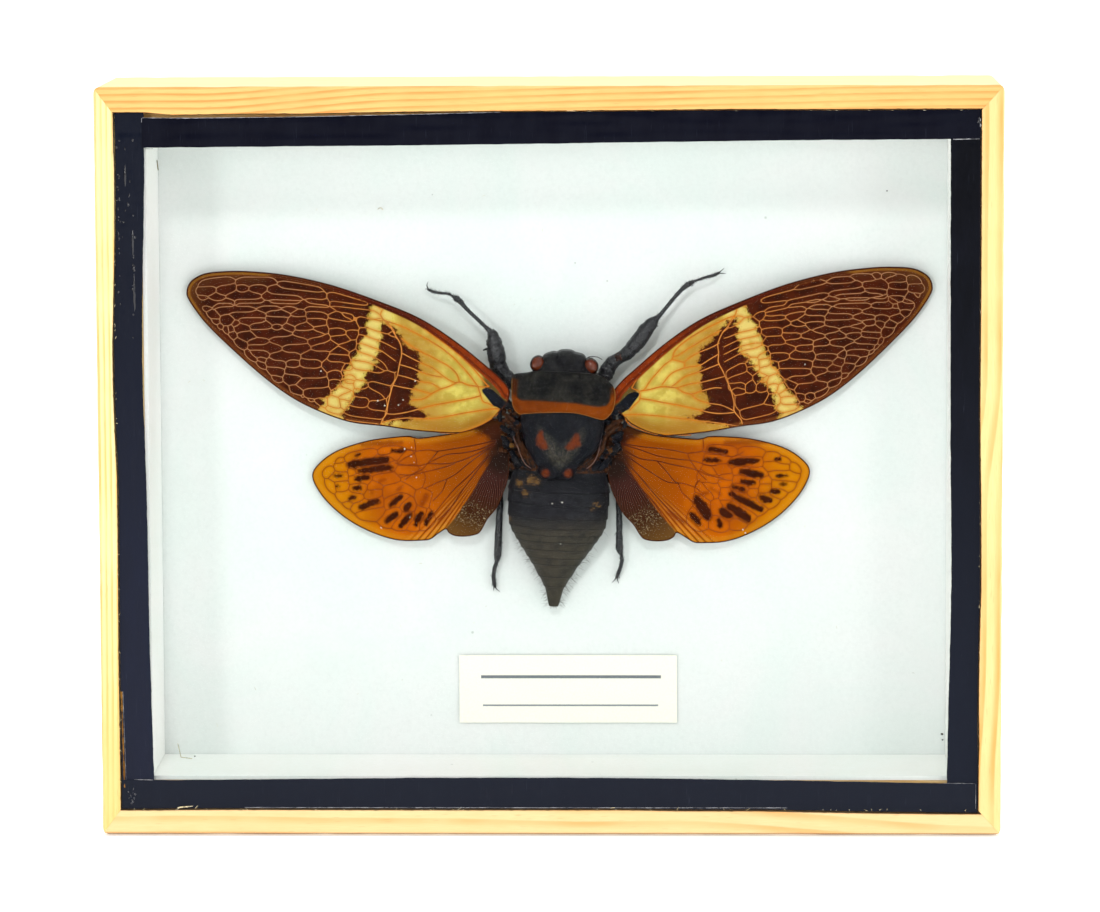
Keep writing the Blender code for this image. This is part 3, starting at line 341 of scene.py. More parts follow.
HINDWING_CELLS = {
    "left": [
        (28.4, -1.3, 28.1, -1.2), (26.8, -0.6, 22.7, 0), (30.6, -3.2, 29.6, -3.2),
        (28.7, -2.7, 27.5, -2.5), (26.2, -1.9, 19.9, -1.1), (17.2, -0.9, 15.8, -0.7),
        (20.7, 0.4, 18.1, 0.2), (25.1, -3, 19.3, -2.2), (29.4, -4.1, 27.4, -3.9),
        (26.5, -3.3, 26, -3.5), (26, -4.5, 23.6, -4.3), (30, -5.3, 29.6, -6), (28.7, -5.8, 27.4, -5.7),
        (26, -6.1, 24.2, -5.8), (22.9, -5.9, 21.6, -5.2), (21.9, -4.6, 18.4, -4.1),
        (28, -7.6, 25.1, -7.8), (23.2, -7.4, 21.6, -6.6), (26, -9.4, 21.1, -8.6),
        (20.2, -6.6, 17, -5.5), (18.1, -3.4, 15.8, -2.8), (17, -4.5, 14.1, -3.9),
        (20.2, -8.6, 17.6, -7.4), (17, -9.2, 15.9, -8.9), (20.5, -12.1, 18.5, -10.1),
        (18.2, -12.4, 15.9, -10.9), (15.6, -12.6, 14.1, -10.3), (13.9, -12.3, 12.4, -10.5),
        (14.4, -8.5, 12.1, -6.5), (24.9, -11, 21.7, -10.1), (26.9, -8.7, 26.6, -9),
    ],
    "right": [
        (16.7, 0.8, 20, 0.2), (22, 0, 24.8, 0), (16, -0.9, 19.1, -0.6), (19.9, -1.7, 24.4, -1.6),
        (25.9, -1.3, 27.6, -0.9), (28.1, -1.9, 29.2, -2), (26.1, -2.5, 28.9, -2.9),
        (30.6, -2.8, 30.8, -3.9), (17.3, -2.6, 19.3, -3), (20.7, -2.9, 24.9, -4.1),
        (27.1, -4.2, 30.8, -4.8), (15.6, -2.7, 16.7, -3.2), (20.6, -4.4, 23.7, -5.4),
        (25.1, -5, 26, -5), (27.3, -6, 30.1, -6.4), (18.4, -3.9, 19.5, -4.3), (20, -5.8, 22.2, -6.2),
        (26.7, -7.1, 28.1, -7.2), (25.1, -6.1, 25.9, -6.4), (22.8, -6.8, 23.3, -7.3),
        (24.4, -8.1, 26.6, -8.8), (19.9, -6.9, 24.3, -9.8), (15, -3.4, 17.2, -4.4),
        (17.8, -4.7, 19.2, -5.1), (18.7, -8.8, 22.5, -11.4), (16.7, -9.2, 19.1, -10.6),
        (15.5, -5.4, 17.7, -6.4), (17.7, -6.4, 19.3, -7.1), (14, -7, 15.2, -10.3),
        (16.6, -11.2, 17.9, -12.5), (12.4, -9.8, 14, -11.6), (19.6, -12, 21.3, -13),
        (14.3, -5.6, 15.7, -6.6),
    ],
}
FOREWING_VEINS = {
    "left": [
        [(22.5, 16.1), (20, 15.1), (17.1, 14), (14.6, 12.5), (12.4, 10.8), (10.2, 9.3), (7.7, 7.3),
         (5.5, 5.2), (3.3, 2.6), (2.7, 2.1)],
        [(28.4, 18.7), (25.4, 17.7), (23.1, 16.5), (22.3, 15.9), (21.4, 15.3)],
        [(21, 13.4), (20.3, 13.1), (18.1, 12.4), (16.1, 11.5), (13.6, 10.2), (11.2, 8.8), (9.2, 7.3),
         (7.5, 5.6), (6, 3.9), (4.7, 2.1)],
        [(20.3, 13.1), (18.9, 10.8), (18, 9.2), (17.8, 7.5), (18.2, 5.7), (18.6, 3.7), (19.4, 2),
         (20, -0.2), (20.3, -1.5), (20.5, -2.8), (21.1, -3.7), (21.5, -4.7)],
        [(17.9, 10.2), (16.6, 9.2), (14.6, 8), (12.7, 7.1), (11.2, 6.3), (9.7, 5.5), (8.5, 4.4),
         (8, 3.4), (7.9, 2.8)],
        [(17.8, 7.7), (15.9, 6.7), (14.4, 6), (12.4, 5.1), (10.7, 3.8), (9, 2.8), (7.9, 2.7)],
        [(18.2, 5.7), (16.1, 5.1), (14.7, 4.5), (12.7, 3.9), (10.8, 3.6)],
        [(18.6, 3.9), (16.9, 3.5), (14.7, 2.8), (12.7, 2.5), (11.2, 1.6)],
        [(19.4, 2.1), (17.4, 1.7), (15.4, 1.4), (14.2, 1.1), (12.7, 0.7)],
        [(4.7, 2.1), (6.3, 2.3), (7.9, 2.8), (9.7, 2), (11.2, 1.5), (12.7, 0.7), (13.7, 0),
         (14.7, -0.3), (16.2, -0.4)],
        [(4.2, 0.5), (5.6, 0.1), (7.5, -0.3), (10, -0.8), (12.5, -1.3), (14.7, -1.9), (16.9, -2.5),
         (19.2, -2.9), (20.5, -2.8)],
        [(1.1, -1.7), (2.6, -1.8), (6.3, -2.4), (8.8, -2.9), (11.2, -3.4), (13.7, -3.6), (16.7, -3.5),
         (19.2, -3.8), (21.1, -4.3)],
        [(4.7, 2.1), (4.4, 1.2), (4.2, 0.5), (3.8, -0.5), (2.9, -0.8), (2.1, -1.3)],
        [(2.7, 2.1), (4.1, 2), (4.7, 2.1)],
        [(21, 15.2), (21.4, 14.3), (21, 13.4), (21.5, 13.2), (22.5, 13.4)],
        [(1.1, -1.8), (1.6, -2.9), (3.9, -4.4), (6.3, -5.4), (8.8, -6), (11.3, -6)],
    ],
    "right": [
        [(22.7, 16.3), (21, 15.8), (18.5, 14.9), (15.8, 13.8), (13.3, 12.7), (11.3, 11.5), (9.3, 10.1),
         (7.3, 8.5), (5.5, 6.6), (3.9, 4.5), (2.7, 2.5)],
        [(22.9, 15.7), (21.7, 15.9), (21.2, 15.5), (20.8, 14.3), (19.7, 13.9), (18, 13.2), (16, 12.3),
         (14.2, 11.4), (12.2, 10.2), (11, 9.3), (10.2, 8.4), (9.8, 7.1)],
        [(20.8, 14.3), (19.7, 12.6), (18.6, 11.4), (17.9, 10), (17.7, 9.3), (17.8, 7.8), (17.7, 6.3),
         (18.4, 4.8), (19.1, 3), (19.7, 1.5), (20, 0.3), (20.2, -1), (20.2, -2.3), (21.3, -3.8),
         (21.5, -4.6)],
        [(18.4, 11.8), (16.7, 11), (14.7, 10), (12.7, 8.9), (10.9, 7.8), (9.9, 7.6)],
        [(18, 9.6), (16.6, 8.9), (14.6, 8.2), (13.1, 7.5), (11.9, 6.6)],
        [(17.8, 7.7), (16.3, 6.9), (14.5, 5.9), (12.1, 5.6), (9.6, 4.7), (7.9, 2.8)],
        [(17.9, 6), (16.2, 5.4), (14.5, 4.8), (12, 4.1), (10.3, 2.9), (9.6, 2.5)],
        [(18.7, 3.8), (16.9, 3.4), (14.4, 2.9), (13, 2.8), (10.5, 2.2)],
        [(4.1, 1.9), (5.8, 2.1), (7.8, 2.5), (9.6, 2.3), (10.5, 2.1), (11.5, 1.4), (12.9, 1),
         (14.9, 1.5), (16.9, 1.9), (18.1, 1.8)],
        [(12.9, 1), (13.9, 0), (15.8, -0.7), (17.8, -1.1), (19.2, -1.7), (20.2, -2.3)],
        [(9.8, 7.1), (10.9, 6.8), (11.9, 6.4), (11.8, 5.6)],
        [(9.8, 7.1), (8.4, 6.2), (7.2, 5), (5.9, 3.6), (4.9, 2.2), (4.1, 1.9)],
        [(4.1, 0.6), (5.8, 0.3), (8.2, -0.3), (10.9, -0.9), (13.8, -1.7), (16.3, -2.4), (18.2, -2.6),
         (20.2, -2.5)],
        [(1, -2.1), (3.3, -2.1), (6.9, -2.5), (10.6, -3.1), (14.3, -3.7), (17.9, -4.3), (21.1, -5)],
        [(2.7, 2.5), (3.9, 1.9), (4.1, 1.2), (3.9, 0.3), (2.8, -0.7), (2.2, -1.4)],
        [(1.3, -2.3), (2, -3.6), (3.9, -4.7), (6.8, -5.7), (10.7, -6), (12.7, -6.1)],
    ],
}
HINDWING_VEINS = {
    "left": [
        [(1.1, 2.7), (4.2, 1.9), (8.3, 1.1), (11.4, 0.6), (12.9, 0.8), (15.1, 0.5)],
        [(1.1, 2.4), (3.9, 1.1), (6.8, 0.4), (9.4, 0.1), (11.2, -0.6), (13.1, -1.6)],
        [(1.3, 2), (5.4, -0.2), (8.3, -1.3), (10.6, -1.6), (13.1, -1.6), (14.6, -2), (17, -1.9),
         (18.7, -1.6)],
        [(8.3, -1.5), (10.6, -2.3), (14.1, -3.2), (15.8, -3.6), (18, -3.6)],
        [(1.9, 1.5), (4.2, -0.1), (6.6, -2), (8, -3.2), (9.7, -4.2), (11.5, -4.9), (13.5, -5.9)],
        [(9.7, -4.2), (10, -5), (10.6, -6.4), (12.2, -8.1)],
        [(2.2, 0.4), (5.4, -3.1), (8.3, -5.8), (9.8, -7.6), (11.5, -9.7), (13, -11.4)],
        [(2.5, -0.2), (4.8, -3.1), (7.2, -6.4), (9.2, -9.3), (11.3, -11.4)],
        [(15.3, 2.6), (15.1, 0.6), (15.8, -0.1), (17, -0.7), (18.1, -1.5)],
        [(11.2, 0.6), (12.3, -0.7), (13.1, -1.6), (14.1, -2.7), (15.8, -3.6), (17, -4.5)],
        [(15.1, 0.6), (18.1, 0.7), (19.8, 0), (21.1, -0.2), (21.6, -0.2)],
    ],
    "right": [
        [(1.5, 3), (4.9, 2.2), (7.7, 1.7), (10.5, 1.1), (12.7, 0.5), (15, 0.7)],
        [(1.5, 2.9), (4.8, 1.6), (7.6, 0.4), (10.4, -0.3), (13.2, -0.8), (15.7, -1.7), (17.4, -2)],
        [(2, 1.8), (4.5, 0.2), (7.3, -0.4), (9.8, -1.2), (12.3, -1.9), (14.2, -2.6), (15.9, -3.5),
         (18.4, -4.2)],
        [(7.3, -0.4), (8.9, -2.4), (10.2, -4.2), (11.6, -4.6), (13.5, -5.4), (14.3, -6.2)],
        [(2, 1), (4.4, -0.9), (6.9, -2.8), (8.8, -4.1), (10.7, -4.5)],
        [(10.7, -4.5), (11.2, -6), (12.3, -7.2), (13.1, -8.1)],
        [(1.9, 0), (4.3, -2.9), (6.7, -6.2), (9, -9), (11.2, -11.2)],
        [(1.9, -1.3), (4.2, -4.6), (6.6, -7.9), (8.4, -11)],
        [(15.3, 2.7), (15, 0.7), (12.7, 0.5), (13, -0.8), (14.2, -2.8), (15.5, -4.3)],
        [(15, 0.7), (17.5, 0), (19.7, -0.6), (21.1, -0.4), (22, 0.1)],
        [(14.4, -4.1), (13.9, -4.7), (13.5, -5.4)],
    ],
}

# Regions of the fore wing in wing coordinates: the dark patch and the inner edge of the dark outer part.
PATCH = {
    "left": [
        (20.3, 12.9), (18.1, 10.9), (17.4, 9.0), (14.9, 7.7), (14.6, 5.5), (15.2, 2.9), (16.2, 1.0),
        (16.6, -0.6), (15.6, -1.9), (13.2, -2.9), (14.0, -3.5), (17.5, -3.8), (21.4, -4.5), (21.5, -7.0),
        (28.3, -6.0), (27.9, -2.5), (26.3, -0.2), (24.7, 1.7), (23.8, 3.9), (22.5, 5.5), (21.9, 8.0),
        (21.4, 10.2), (21.2, 12.8),
    ],
    "right": [
        (20.9, 13.8), (19.7, 13.1), (18.4, 11.9), (16.4, 9.8), (14.6, 8.2), (14.3, 6.4), (14.7, 4.5),
        (14.7, 1.7), (16.2, 0.2), (15.8, -1.5), (14.3, -2.7), (11.8, -3.2), (14.2, -3.7), (19.1, -4.6),
        (21.4, -4.9), (21.5, -6.7), (28.7, -5.8), (27.4, -1.8), (26.9, 0.5), (25.3, 2.5), (24.3, 4),
        (23.4, 5.6), (22.2, 7.1), (21.6, 8.1), (21.3, 9.8), (21.1, 11.8),
    ],
}
FAR = {
    "left": [
        (22.6, 16.2), (23.1, 15.3), (23.5, 13.4), (24.1, 10.9), (25.4, 8.0), (26.9, 5.5), (28.2, 2.6),
        (30.4, 0.4), (32.0, -1.5), (33.5, -4.5),
    ],
    "right": [
        (22.7, 15.5), (23.4, 13.5), (24.6, 11.9), (25.2, 9.7), (26.1, 7.4), (26.8, 5.9), (28, 3.9),
        (28.9, 2.1), (30.4, 0.1), (31.5, -1.8), (33, -3.8), (33.9, -5.8),
    ],
}
BASAL_CELL = [
    (4.03, 1.63), (3.17, 1.9), (2.03, 1.5), (0.33, -0.1), (-0.81, -0.96), (-0.66, -2.25), (0.34, -2.11),
    (1.48, -1.39), (2.05, -1.24), (3.18, 0.19), (3.89, 1.05),
]
LOBE = [
    (-3.0, 1.5), (-0.75, 0.9), (1.55, -0.1), (3.65, -3.4), (5.35, -6.5), (7.45, -9.7), (10.0, -13.0),
    (10.0, -18.0), (-6.0, -18.0), (-6.0, 1.5),
]
ROOT = [(5.6, 4.7), (4.5, 4.0), (2.9, 3.4), (1.2, 1.8), (0.8, 0.2), (-3.0, 0.0), (-3.0, 9.0), (5.6, 9.0)]
# Marks on the hind wings: across, up, length, width and how far the inner end is tipped up.
SPOTS = {
    "left": [
        (-26.5, 63.05, 2.6, 0.75, 5), (-31.9, 61.0, 7.6, 1.35, 8), (-30.5, 59.8, 6.2, 1.1, 8),
        (-32.95, 58.25, 2.7, 0.9, 8), (-33.85, 56.55, 1.5, 0.9, 10), (-37.05, 58.6, 1.6, 0.5, 5),
        (-37.25, 56.7, 0.8, 0.5, -20), (-33.65, 62.2, 0.9, 0.6, 0), (-34.7, 54.75, 1.4, 0.8, 15),
        (-31.75, 53.7, 3.9, 1.0, 20), (-27.1, 54.3, 3.2, 0.9, 40), (-27.85, 51.45, 2.8, 1.1, 40),
        (-25.15, 53.25, 1.8, 1.1, 50), (-25.5, 50.95, 3.2, 1.1, 50), (-23.2, 51.25, 2.8, 1.0, 65),
        (-21.5, 51.3, 2.8, 0.9, 60),
    ],
    "right": [
        (28.4, 63.05, 3.4, 0.9, 15), (27.4, 61.45, 3.0, 0.8, 8), (32.85, 61.05, 5.5, 1.2, 0),
        (34.2, 59.05, 4.2, 1.2, 15), (33.6, 57.5, 2.6, 0.9, 12), (32.0, 56.4, 2.5, 0.9, 20),
        (38.75, 61.4, 1.2, 0.6, 0), (39.4, 58.5, 1.8, 0.5, 5), (39.7, 57.1, 1.4, 0.5, 0),
        (38.35, 55.75, 1.8, 0.8, 15), (36.65, 54.45, 2.3, 1.2, 20), (33.25, 54.05, 6.5, 1.1, 32),
        (32.0, 52.25, 4.7, 1.5, 38), (29.75, 52.15, 2.5, 1.4, 30), (28.7, 50.35, 1.8, 0.9, 85),
        (25.75, 53.1, 4.6, 1.7, 60), (24.6, 51.2, 2.8, 1.1, 55),
    ],
}
BLUSHES = {
    "left": [(-22.1, 54.6, 2.4, 1.0, 60), (-18.75, 51.9, 3.4, 0.7, 50), (-26.35, 56.6, 1.6, 0.6, 40),
             (-29.4, 57.85, 1.2, 0.5, 15), (-31.2, 55.6, 0.5, 0.4, 0), (-29.5, 64.3, 7.4, 0.8, 3)],
    "right": [(21.2, 51.5, 3.8, 0.8, 40), (26.2, 55.65, 1.4, 0.7, 0), (28.0, 56.05, 2.6, 0.5, 40),
              (33.2, 64.4, 7.5, 0.8, 3)],
}
# The olive tip of the fore wing in wing coordinates.
OLIVE_TIP = [(57, 23), (38, 23), (41.5, 19.8), (50.0, 19.2), (52.6, 17.2), (52.2, 14.0), (51.0, 12), (60, 12)]
# The distance between the seeds along a cell's middle line.
SEED_STEP = 0.3
# Pale flecks that paint glints on the wings, in wing coordinates, by whether it is a fore wing and by side.
GLINT_FLECKS = {
    (True, "left"): [(31.8, 4.4), (15.5, 2.9), (17.6, -0.4), (18.4, -1.3), (20.8, -1.4), (22.0, -0.6)],
    (True, "right"): [(32.6, 5.3)],
    (False, "left"): [
        (15.4, -1.4), (15.9, -0.4), (15.0, -4.0), (17.0, 0.9), (15.8, 1.2), (16.2, -11.0), (21.2, -12.9),
    ],
    (False, "right"): [(21.6, -13.8), (21.2, -13.2)],
}
# Legs from body to foot: across, up, height and width.
LEGS = {
    "foreleg_left": [
        (-6.0, 74.4, 3.6, 2.2), (-7.6, 75.5, 3.3, 2.5), (-9.15, 77.4, 3.4, 2.8), (-9.6, 80.0, 3.8, 2.9),
        (-9.95, 81.9, 4.0, 2.4), (-10.2, 83.2, 4.0, 1.7), (-10.65, 83.8, 4.0, 0.9), (-11.35, 84.5, 4.0, 0.65),
        (-12.4, 85.5, 4.0, 0.6), (-14.6, 87.6, 3.8, 0.62), (-15.65, 88.8, 3.6, 0.85), (-16.4, 89.4, 3.5, 1.0),
        (-17.1, 89.8, 3.4, 0.4), (-17.85, 90.2, 3.2, 0.42), (-19.3, 90.3, 2.8, 0.44),
        (-20.45, 90.5, 2.4, 0.46), (-21.35, 90.85, 2.0, 0.4),
    ],
    "foreleg_right": [
        (8.9, 75.5, 3.4, 2.2), (9.4, 76.9, 3.4, 2.5), (10.3, 78.3, 3.6, 2.2), (11.6, 79.2, 3.8, 1.9),
        (12.8, 79.95, 4.0, 2.1), (13.95, 81.15, 4.0, 2.4), (15.0, 82.4, 4.0, 2.5), (16.05, 83.9, 4.0, 2.4),
        (17.2, 85.3, 4.0, 1.8), (17.95, 86.05, 4.0, 0.95), (18.7, 86.8, 4.0, 0.68), (20.5, 89.0, 3.8, 0.62),
        (21.55, 90.2, 3.6, 0.64), (22.6, 91.25, 3.5, 0.75), (23.4, 91.8, 3.4, 0.88), (23.95, 92.1, 3.3, 0.7),
        (24.5, 92.35, 3.2, 0.38), (26.25, 92.9, 2.8, 0.44), (27.55, 93.2, 2.4, 0.5), (28.6, 93.62, 2.0, 0.45),
    ],
    "hindleg_left": [
        (-5.6, 58.4, 0.75, 1.1), (-7.4, 58.6, 1.1, 1.4), (-8.9, 58.3, 1.9, 1.3), (-9.2, 57.2, 2.2, 1.15),
        (-9.15, 53.75, 2.4, 1.1), (-9.45, 48.05, 2.4, 1.2), (-9.55, 45.6, 2.3, 1.25),
        (-9.65, 44.4, 2.2, 1.05), (-9.8, 43.6, 2.0, 0.65), (-10.15, 42.5, 1.8, 0.68),
        (-10.35, 41.0, 1.5, 0.66), (-10.25, 39.8, 1.2, 0.68), (-10.15, 39.1, 1.0, 0.5),
    ],
    "hindleg_right": [
        (7.6, 57.6, 0.75, 1.1), (9.6, 58.0, 1.1, 1.4), (11.0, 57.6, 1.9, 1.3), (11.3, 56.4, 2.2, 1.1),
        (11.4, 51.6, 2.4, 1.0), (11.42, 47.35, 2.4, 1.12), (11.42, 46.2, 2.3, 1.22), (11.5, 45.6, 2.2, 1.0),
        (11.72, 44.9, 2.0, 0.58), (11.85, 43.85, 1.8, 0.62), (11.6, 42.7, 1.6, 0.58), (11.2, 41.55, 1.3, 0.6),
        (10.92, 40.7, 1.0, 0.5),
    ],
}
# The same for the middle legs, but sideways and along the body.
MIDLEG = [
    (6.5, 6.0, 0.75, 1.1), (8.7, 6.4, 1.2, 1.3), (11.3, 6.2, 2.0, 1.1), (12.7, 5.2, 2.2, 0.8),
    (13.7, 2.6, 1.9, 0.6), (14.5, 0.2, 1.6, 0.75), (14.9, -0.7, 1.4, 0.42), (15.8, -2.6, 1.0, 0.42),
]
# Claws and spurs of a leg: root, bend, tip and width.
CLAWS = {
    "foreleg_left": [((-21.2, 90.8, 2.1), (-21.55, 91.5, 1.6), (-21.35, 92.1, 1.0), 0.3),
                     ((-21.1, 90.8, 2.0), (-21.6, 90.9, 1.6), (-21.9, 90.8, 1.1), 0.28),
                     ((-10.3, 80.7, 3.9), (-11.2, 80.75, 3.9), (-11.9, 80.5, 3.9), 0.8),
                     ((-10.2, 82.0, 3.9), (-10.9, 82.2, 3.9), (-11.35, 82.1, 3.9), 0.7)],
    "foreleg_right": [((28.4, 93.55, 2.1), (29.0, 93.95, 1.6), (29.5, 94.35, 1.0), 0.28),
                      ((28.4, 93.6, 2.0), (29.15, 93.5, 1.5), (29.8, 93.4, 0.9), 0.28),
                      ((17.1, 84.9, 3.9), (17.7, 84.8, 3.9), (18.15, 84.6, 3.9), 0.8)],
    "hindleg_left": [((-10.2, 39.3, 1.1), (-10.35, 38.85, 0.8), (-10.45, 38.4, 0.45), 0.3),
                     ((-10.2, 39.3, 1.0), (-9.85, 38.7, 0.75), (-9.3, 38.2, 0.45), 0.28),
                     ((-9.2, 47.6, 2.4), (-8.95, 47.2, 2.4), (-8.65, 46.9, 2.4), 0.3)],
    "hindleg_right": [((11.0, 40.9, 1.1), (10.55, 40.3, 0.8), (10.05, 39.75, 0.45), 0.28),
                      ((10.95, 40.9, 1.0), (11.1, 40.2, 0.75), (11.25, 39.65, 0.45), 0.28),
                      ((11.2, 49.1, 2.4), (10.9, 48.7, 2.4), (10.6, 48.3, 2.4), 0.3)],
}
ANTENNA = [
    (5.9, 79.35, 7.6, 0.3), (6.4, 79.75, 7.9, 0.2), (7.1, 79.8, 7.8, 0.17), (7.9, 79.65, 7.4, 0.15),
    (8.6, 79.2, 6.8, 0.13),
]
# The photo's focal length and width in pixels.
FOCAL_PIXELS, PHOTO_PIXELS = 5690.235, 1100
TO_GLASS = Vector((0, -1, 0))
# A distance that stands for nothing nearby.
FAR_OFF = 9.0


# ---- Materials ----


def shade(code):
    """A colour from its screen code, as light."""
    parts = [int(code[i:i + 2], 16) / 255 for i in (0, 2, 4)]
    return tuple(c / 12.92 if c <= 0.04045 else ((c + 0.055) / 1.055) ** 2.4 for c in parts) + (1.0,)


class Nodes:
    """A node tree. The methods add nodes and return their sockets."""

    def __init__(self, tree):
        self.tree = tree

    def add(self, kind, inputs=(), output=0, **settings):
        node = self.tree.nodes.new("ShaderNode" + kind)
        for key, value in settings.items():
            setattr(node, key, value)
        for key, value in dict(inputs).items():
            self.plug(node.inputs[key], value)
        return node.outputs[output]

    def plug(self, socket, value):
        """Links a socket to an input, or sets the input. A string is the screen code of a colour."""
        value = shade(value) if isinstance(value, str) else value
        if isinstance(value, bpy.types.NodeSocket):
            self.tree.links.new(value, socket)
        else:
            socket.default_value = value

    def split(self, vector):
        node = self.tree.nodes.new("ShaderNodeSeparateXYZ")
        self.plug(node.inputs[0], vector)
        return node.outputs[0], node.outputs[1], node.outputs[2]

    def math(self, operation, a, b=0.0):
        return self.add("Math", {0: a, 1: b}, operation=operation)

    def plus(self, a, b):
        return self.math("ADD", a, b)

    def minus(self, a, b):
        return self.math("SUBTRACT", a, b)

    def times(self, a, b):
        return self.math("MULTIPLY", a, b)

    def blend(self, a, share, b, other):
        """The sum of two values, each times its share."""
        return self.plus(self.times(a, share), self.times(b, other))

    def step(self, value, low, high, start=0.0, end=1.0):
        """A smooth rise or fall from start to end while the value goes from low to high."""
        inputs = {0: value, 1: low, 2: high, 3: start, 4: end}
        return self.add("MapRange", inputs, interpolation_type="SMOOTHSTEP")

    def mix(self, factor, a, b):
        node = self.tree.nodes.new("ShaderNodeMix")
        node.data_type = "RGBA"
        for socket, value in zip((node.inputs[0], node.inputs[6], node.inputs[7]), (factor, a, b)):
            self.plug(socket, value)
        return node.outputs[2]

    def coats(self, colour, *coats):
        """Lays tones over a colour, each through its own mask."""
        for mask, tone in coats:
            colour = self.mix(mask, colour, tone)
        return colour


class Paint(Nodes):
    """A surface material, painted by places in millimetres and by the numbers held at a mesh's points."""

    def __init__(self, name):
        self.material = bpy.data.materials.new(name)
        self.material.use_nodes = True
        super().__init__(self.material.node_tree)
        self.shader = self.tree.nodes["Principled BSDF"]
        self.place = self.scaled(self.add("TexCoord", output="Object"), (1 / MM, 1 / MM, 1 / MM))
        self.x, self.y, self.z = self.split(self.place)

    def scaled(self, vector, factors):
        return self.add("VectorMath", {0: vector, 1: factors}, operation="MULTIPLY")

    def noise(self, scale, detail=2.0, roughness=0.5, stretch=(1, 1, 1), twist=0.0):
        return self.add("TexNoise", {
            "Vector": self.scaled(self.place, stretch), "Scale": scale, "Detail": detail,
            "Roughness": roughness, "Distortion": twist,
        })

    def cells(self, scale, stretch=(1, 1, 1)):
        return self.add("TexVoronoi", {"Vector": self.scaled(self.place, stretch), "Scale": scale})

    def field(self, name):
        return self.add("Attribute", output="Fac", attribute_name=name)

    def edge(self, name, width, jitter=None, amount=0.0):
        """1 where a field is above 0, with its border moved about by the jitter."""
        value = self.field(name) if isinstance(name, str) else name
        if jitter is not None:
            value = self.plus(value, self.times(self.minus(jitter, 0.5), 2 * amount))
        return self.step(value, -width, width)

    def bump(self, height, depth, below=None):
        inputs = {"Height": height, "Distance": depth * MM, "Strength": 1.0}
        if below is not None:
            inputs["Normal"] = below
        return self.add("Bump", inputs)

    def done(self, colour, roughness, normal=None, **constants):
        self.plug(self.shader.inputs["Base Color"], colour)
        self.plug(self.shader.inputs["Roughness"], roughness)
        if normal is not None:
            self.plug(self.shader.inputs["Normal"], normal)
        for key, value in constants.items():
            self.shader.inputs[key.replace("_", " ")].default_value = value
        return self.material


def pine(name, upright, light, dark, pitch, phase, bends, waves=0.5, low=None):
    """Pine with latewood lines along the rail. Each bend shifts the lines sideways between two places."""
    p = Paint(name)
    if low is not None:
        light = p.mix(p.step(p.z, 48.0, 5.0), light, low)
    along, across = (p.z, p.x) if upright else (p.x, p.z)
    stretch = (1, 1, 0.03) if upright else (0.03, 1, 1)
    sway = p.times(p.noise(0.11, 1.0, 0.4, stretch=(0.3, 1, 0.3)), waves)
    ring = p.plus(p.plus(across, p.times(p.y, 0.3)), sway)
    for start, end, rise in bends:
        ring = p.minus(ring, p.step(along, start, end, 0.0, rise))
    ring = p.plus(ring, p.times(p.noise(2.2, 3.0, 0.6, stretch=stretch), 0.3))
    turn = p.math("FRACT", p.plus(p.math("DIVIDE", ring, pitch), phase))
    late = p.times(p.step(turn, 0.35, 0.84), p.step(turn, 1.0, 0.9))
    late = p.times(late, p.step(p.noise(0.25, 2.0, 0.5, stretch=(0.25, 1, 0.25)), 0.3, 0.75, 0.35, 1.0))
    fibre = p.noise(9.0, 4.0, 0.65, stretch=stretch)
    cloud = p.step(p.noise(0.09, 2.0, 0.5), 0.35, 0.7)
    pore = p.step(p.cells(3.2, stretch=(1, 1, 0.05) if upright else (0.05, 1, 1)), 0.14, 0.05)
    # A darker band along the bottom front edge: painted contact shadow where the frame stands on the floor.
    wear_and_shade = p.times(p.step(p.z, 0.5, 0.15), p.step(p.y, -14.0, -15.0))
    # Dark brown on the lip's inner face by the tape: painted shade of the gap there.
    lip_wall_shade = p.times(p.step(p.y, -15.75, -15.45), p.step(p.field("inner"), 0.35, 0.05))
    # Pale tone of the outer faces: bare wood, painted paler still on the top face for the light from above.
    bare_and_lit = p.mix(p.times(late, 0.35), "fff4b8", light)
    colour = p.coats(
        light,
        (p.step(fibre, 0.3, 0.75), p.mix(0.3, light, dark)),
        (p.times(cloud, 0.4), p.mix(0.45, light, dark)),
        (late, dark),
        (p.times(pore, 0.35), "a8763a"),
        (p.step(p.field("outer"), 0.0, 1.0), bare_and_lit),
        (p.times(wear_and_shade, 0.85), "5e3a1e"),
        (p.times(lip_wall_shade, 0.9), "4a3418"),
    )
    relief = p.minus(p.blend(late, 0.6, fibre, 0.5), p.times(pore, 0.4))
    roughness = p.step(fibre, 0.2, 0.8, 0.42, 0.6)
    return p.done(colour, roughness, p.bump(relief, 0.05), Coat_Weight=0.05, Coat_Roughness=0.3)


def glossy_tape(name, low, high, gloss):
    """Black tape, from a low to a high tone up the frame: the change is painted reflection."""
    p = Paint(name)
    coarse = p.noise(0.35, 3.0, 0.6, stretch=(1, 1, 0.3))
    fine = p.noise(3.0, 4.0, 0.7)
    normal = p.bump(fine, 0.006, p.bump(coarse, 0.07))
    scratch = p.step(p.noise(6.0, 2.0, 0.5, stretch=(1, 1, 0.04)), 0.66, 0.8)
    colour = p.coats(
        # Lighter low down and darker up the frame: painted reflection.
        p.mix(p.step(p.z, 15.0, 105.0), low, high),
        (p.step(coarse, 0.3, 0.7, 0.0, 0.3), "141722"),
        (p.times(scratch, 0.1), "5a6072"),
    )
    return p.done(colour, p.step(fine, 0.3, 0.8, 0.08, 0.26), normal, Specular_IOR_Level=gloss)


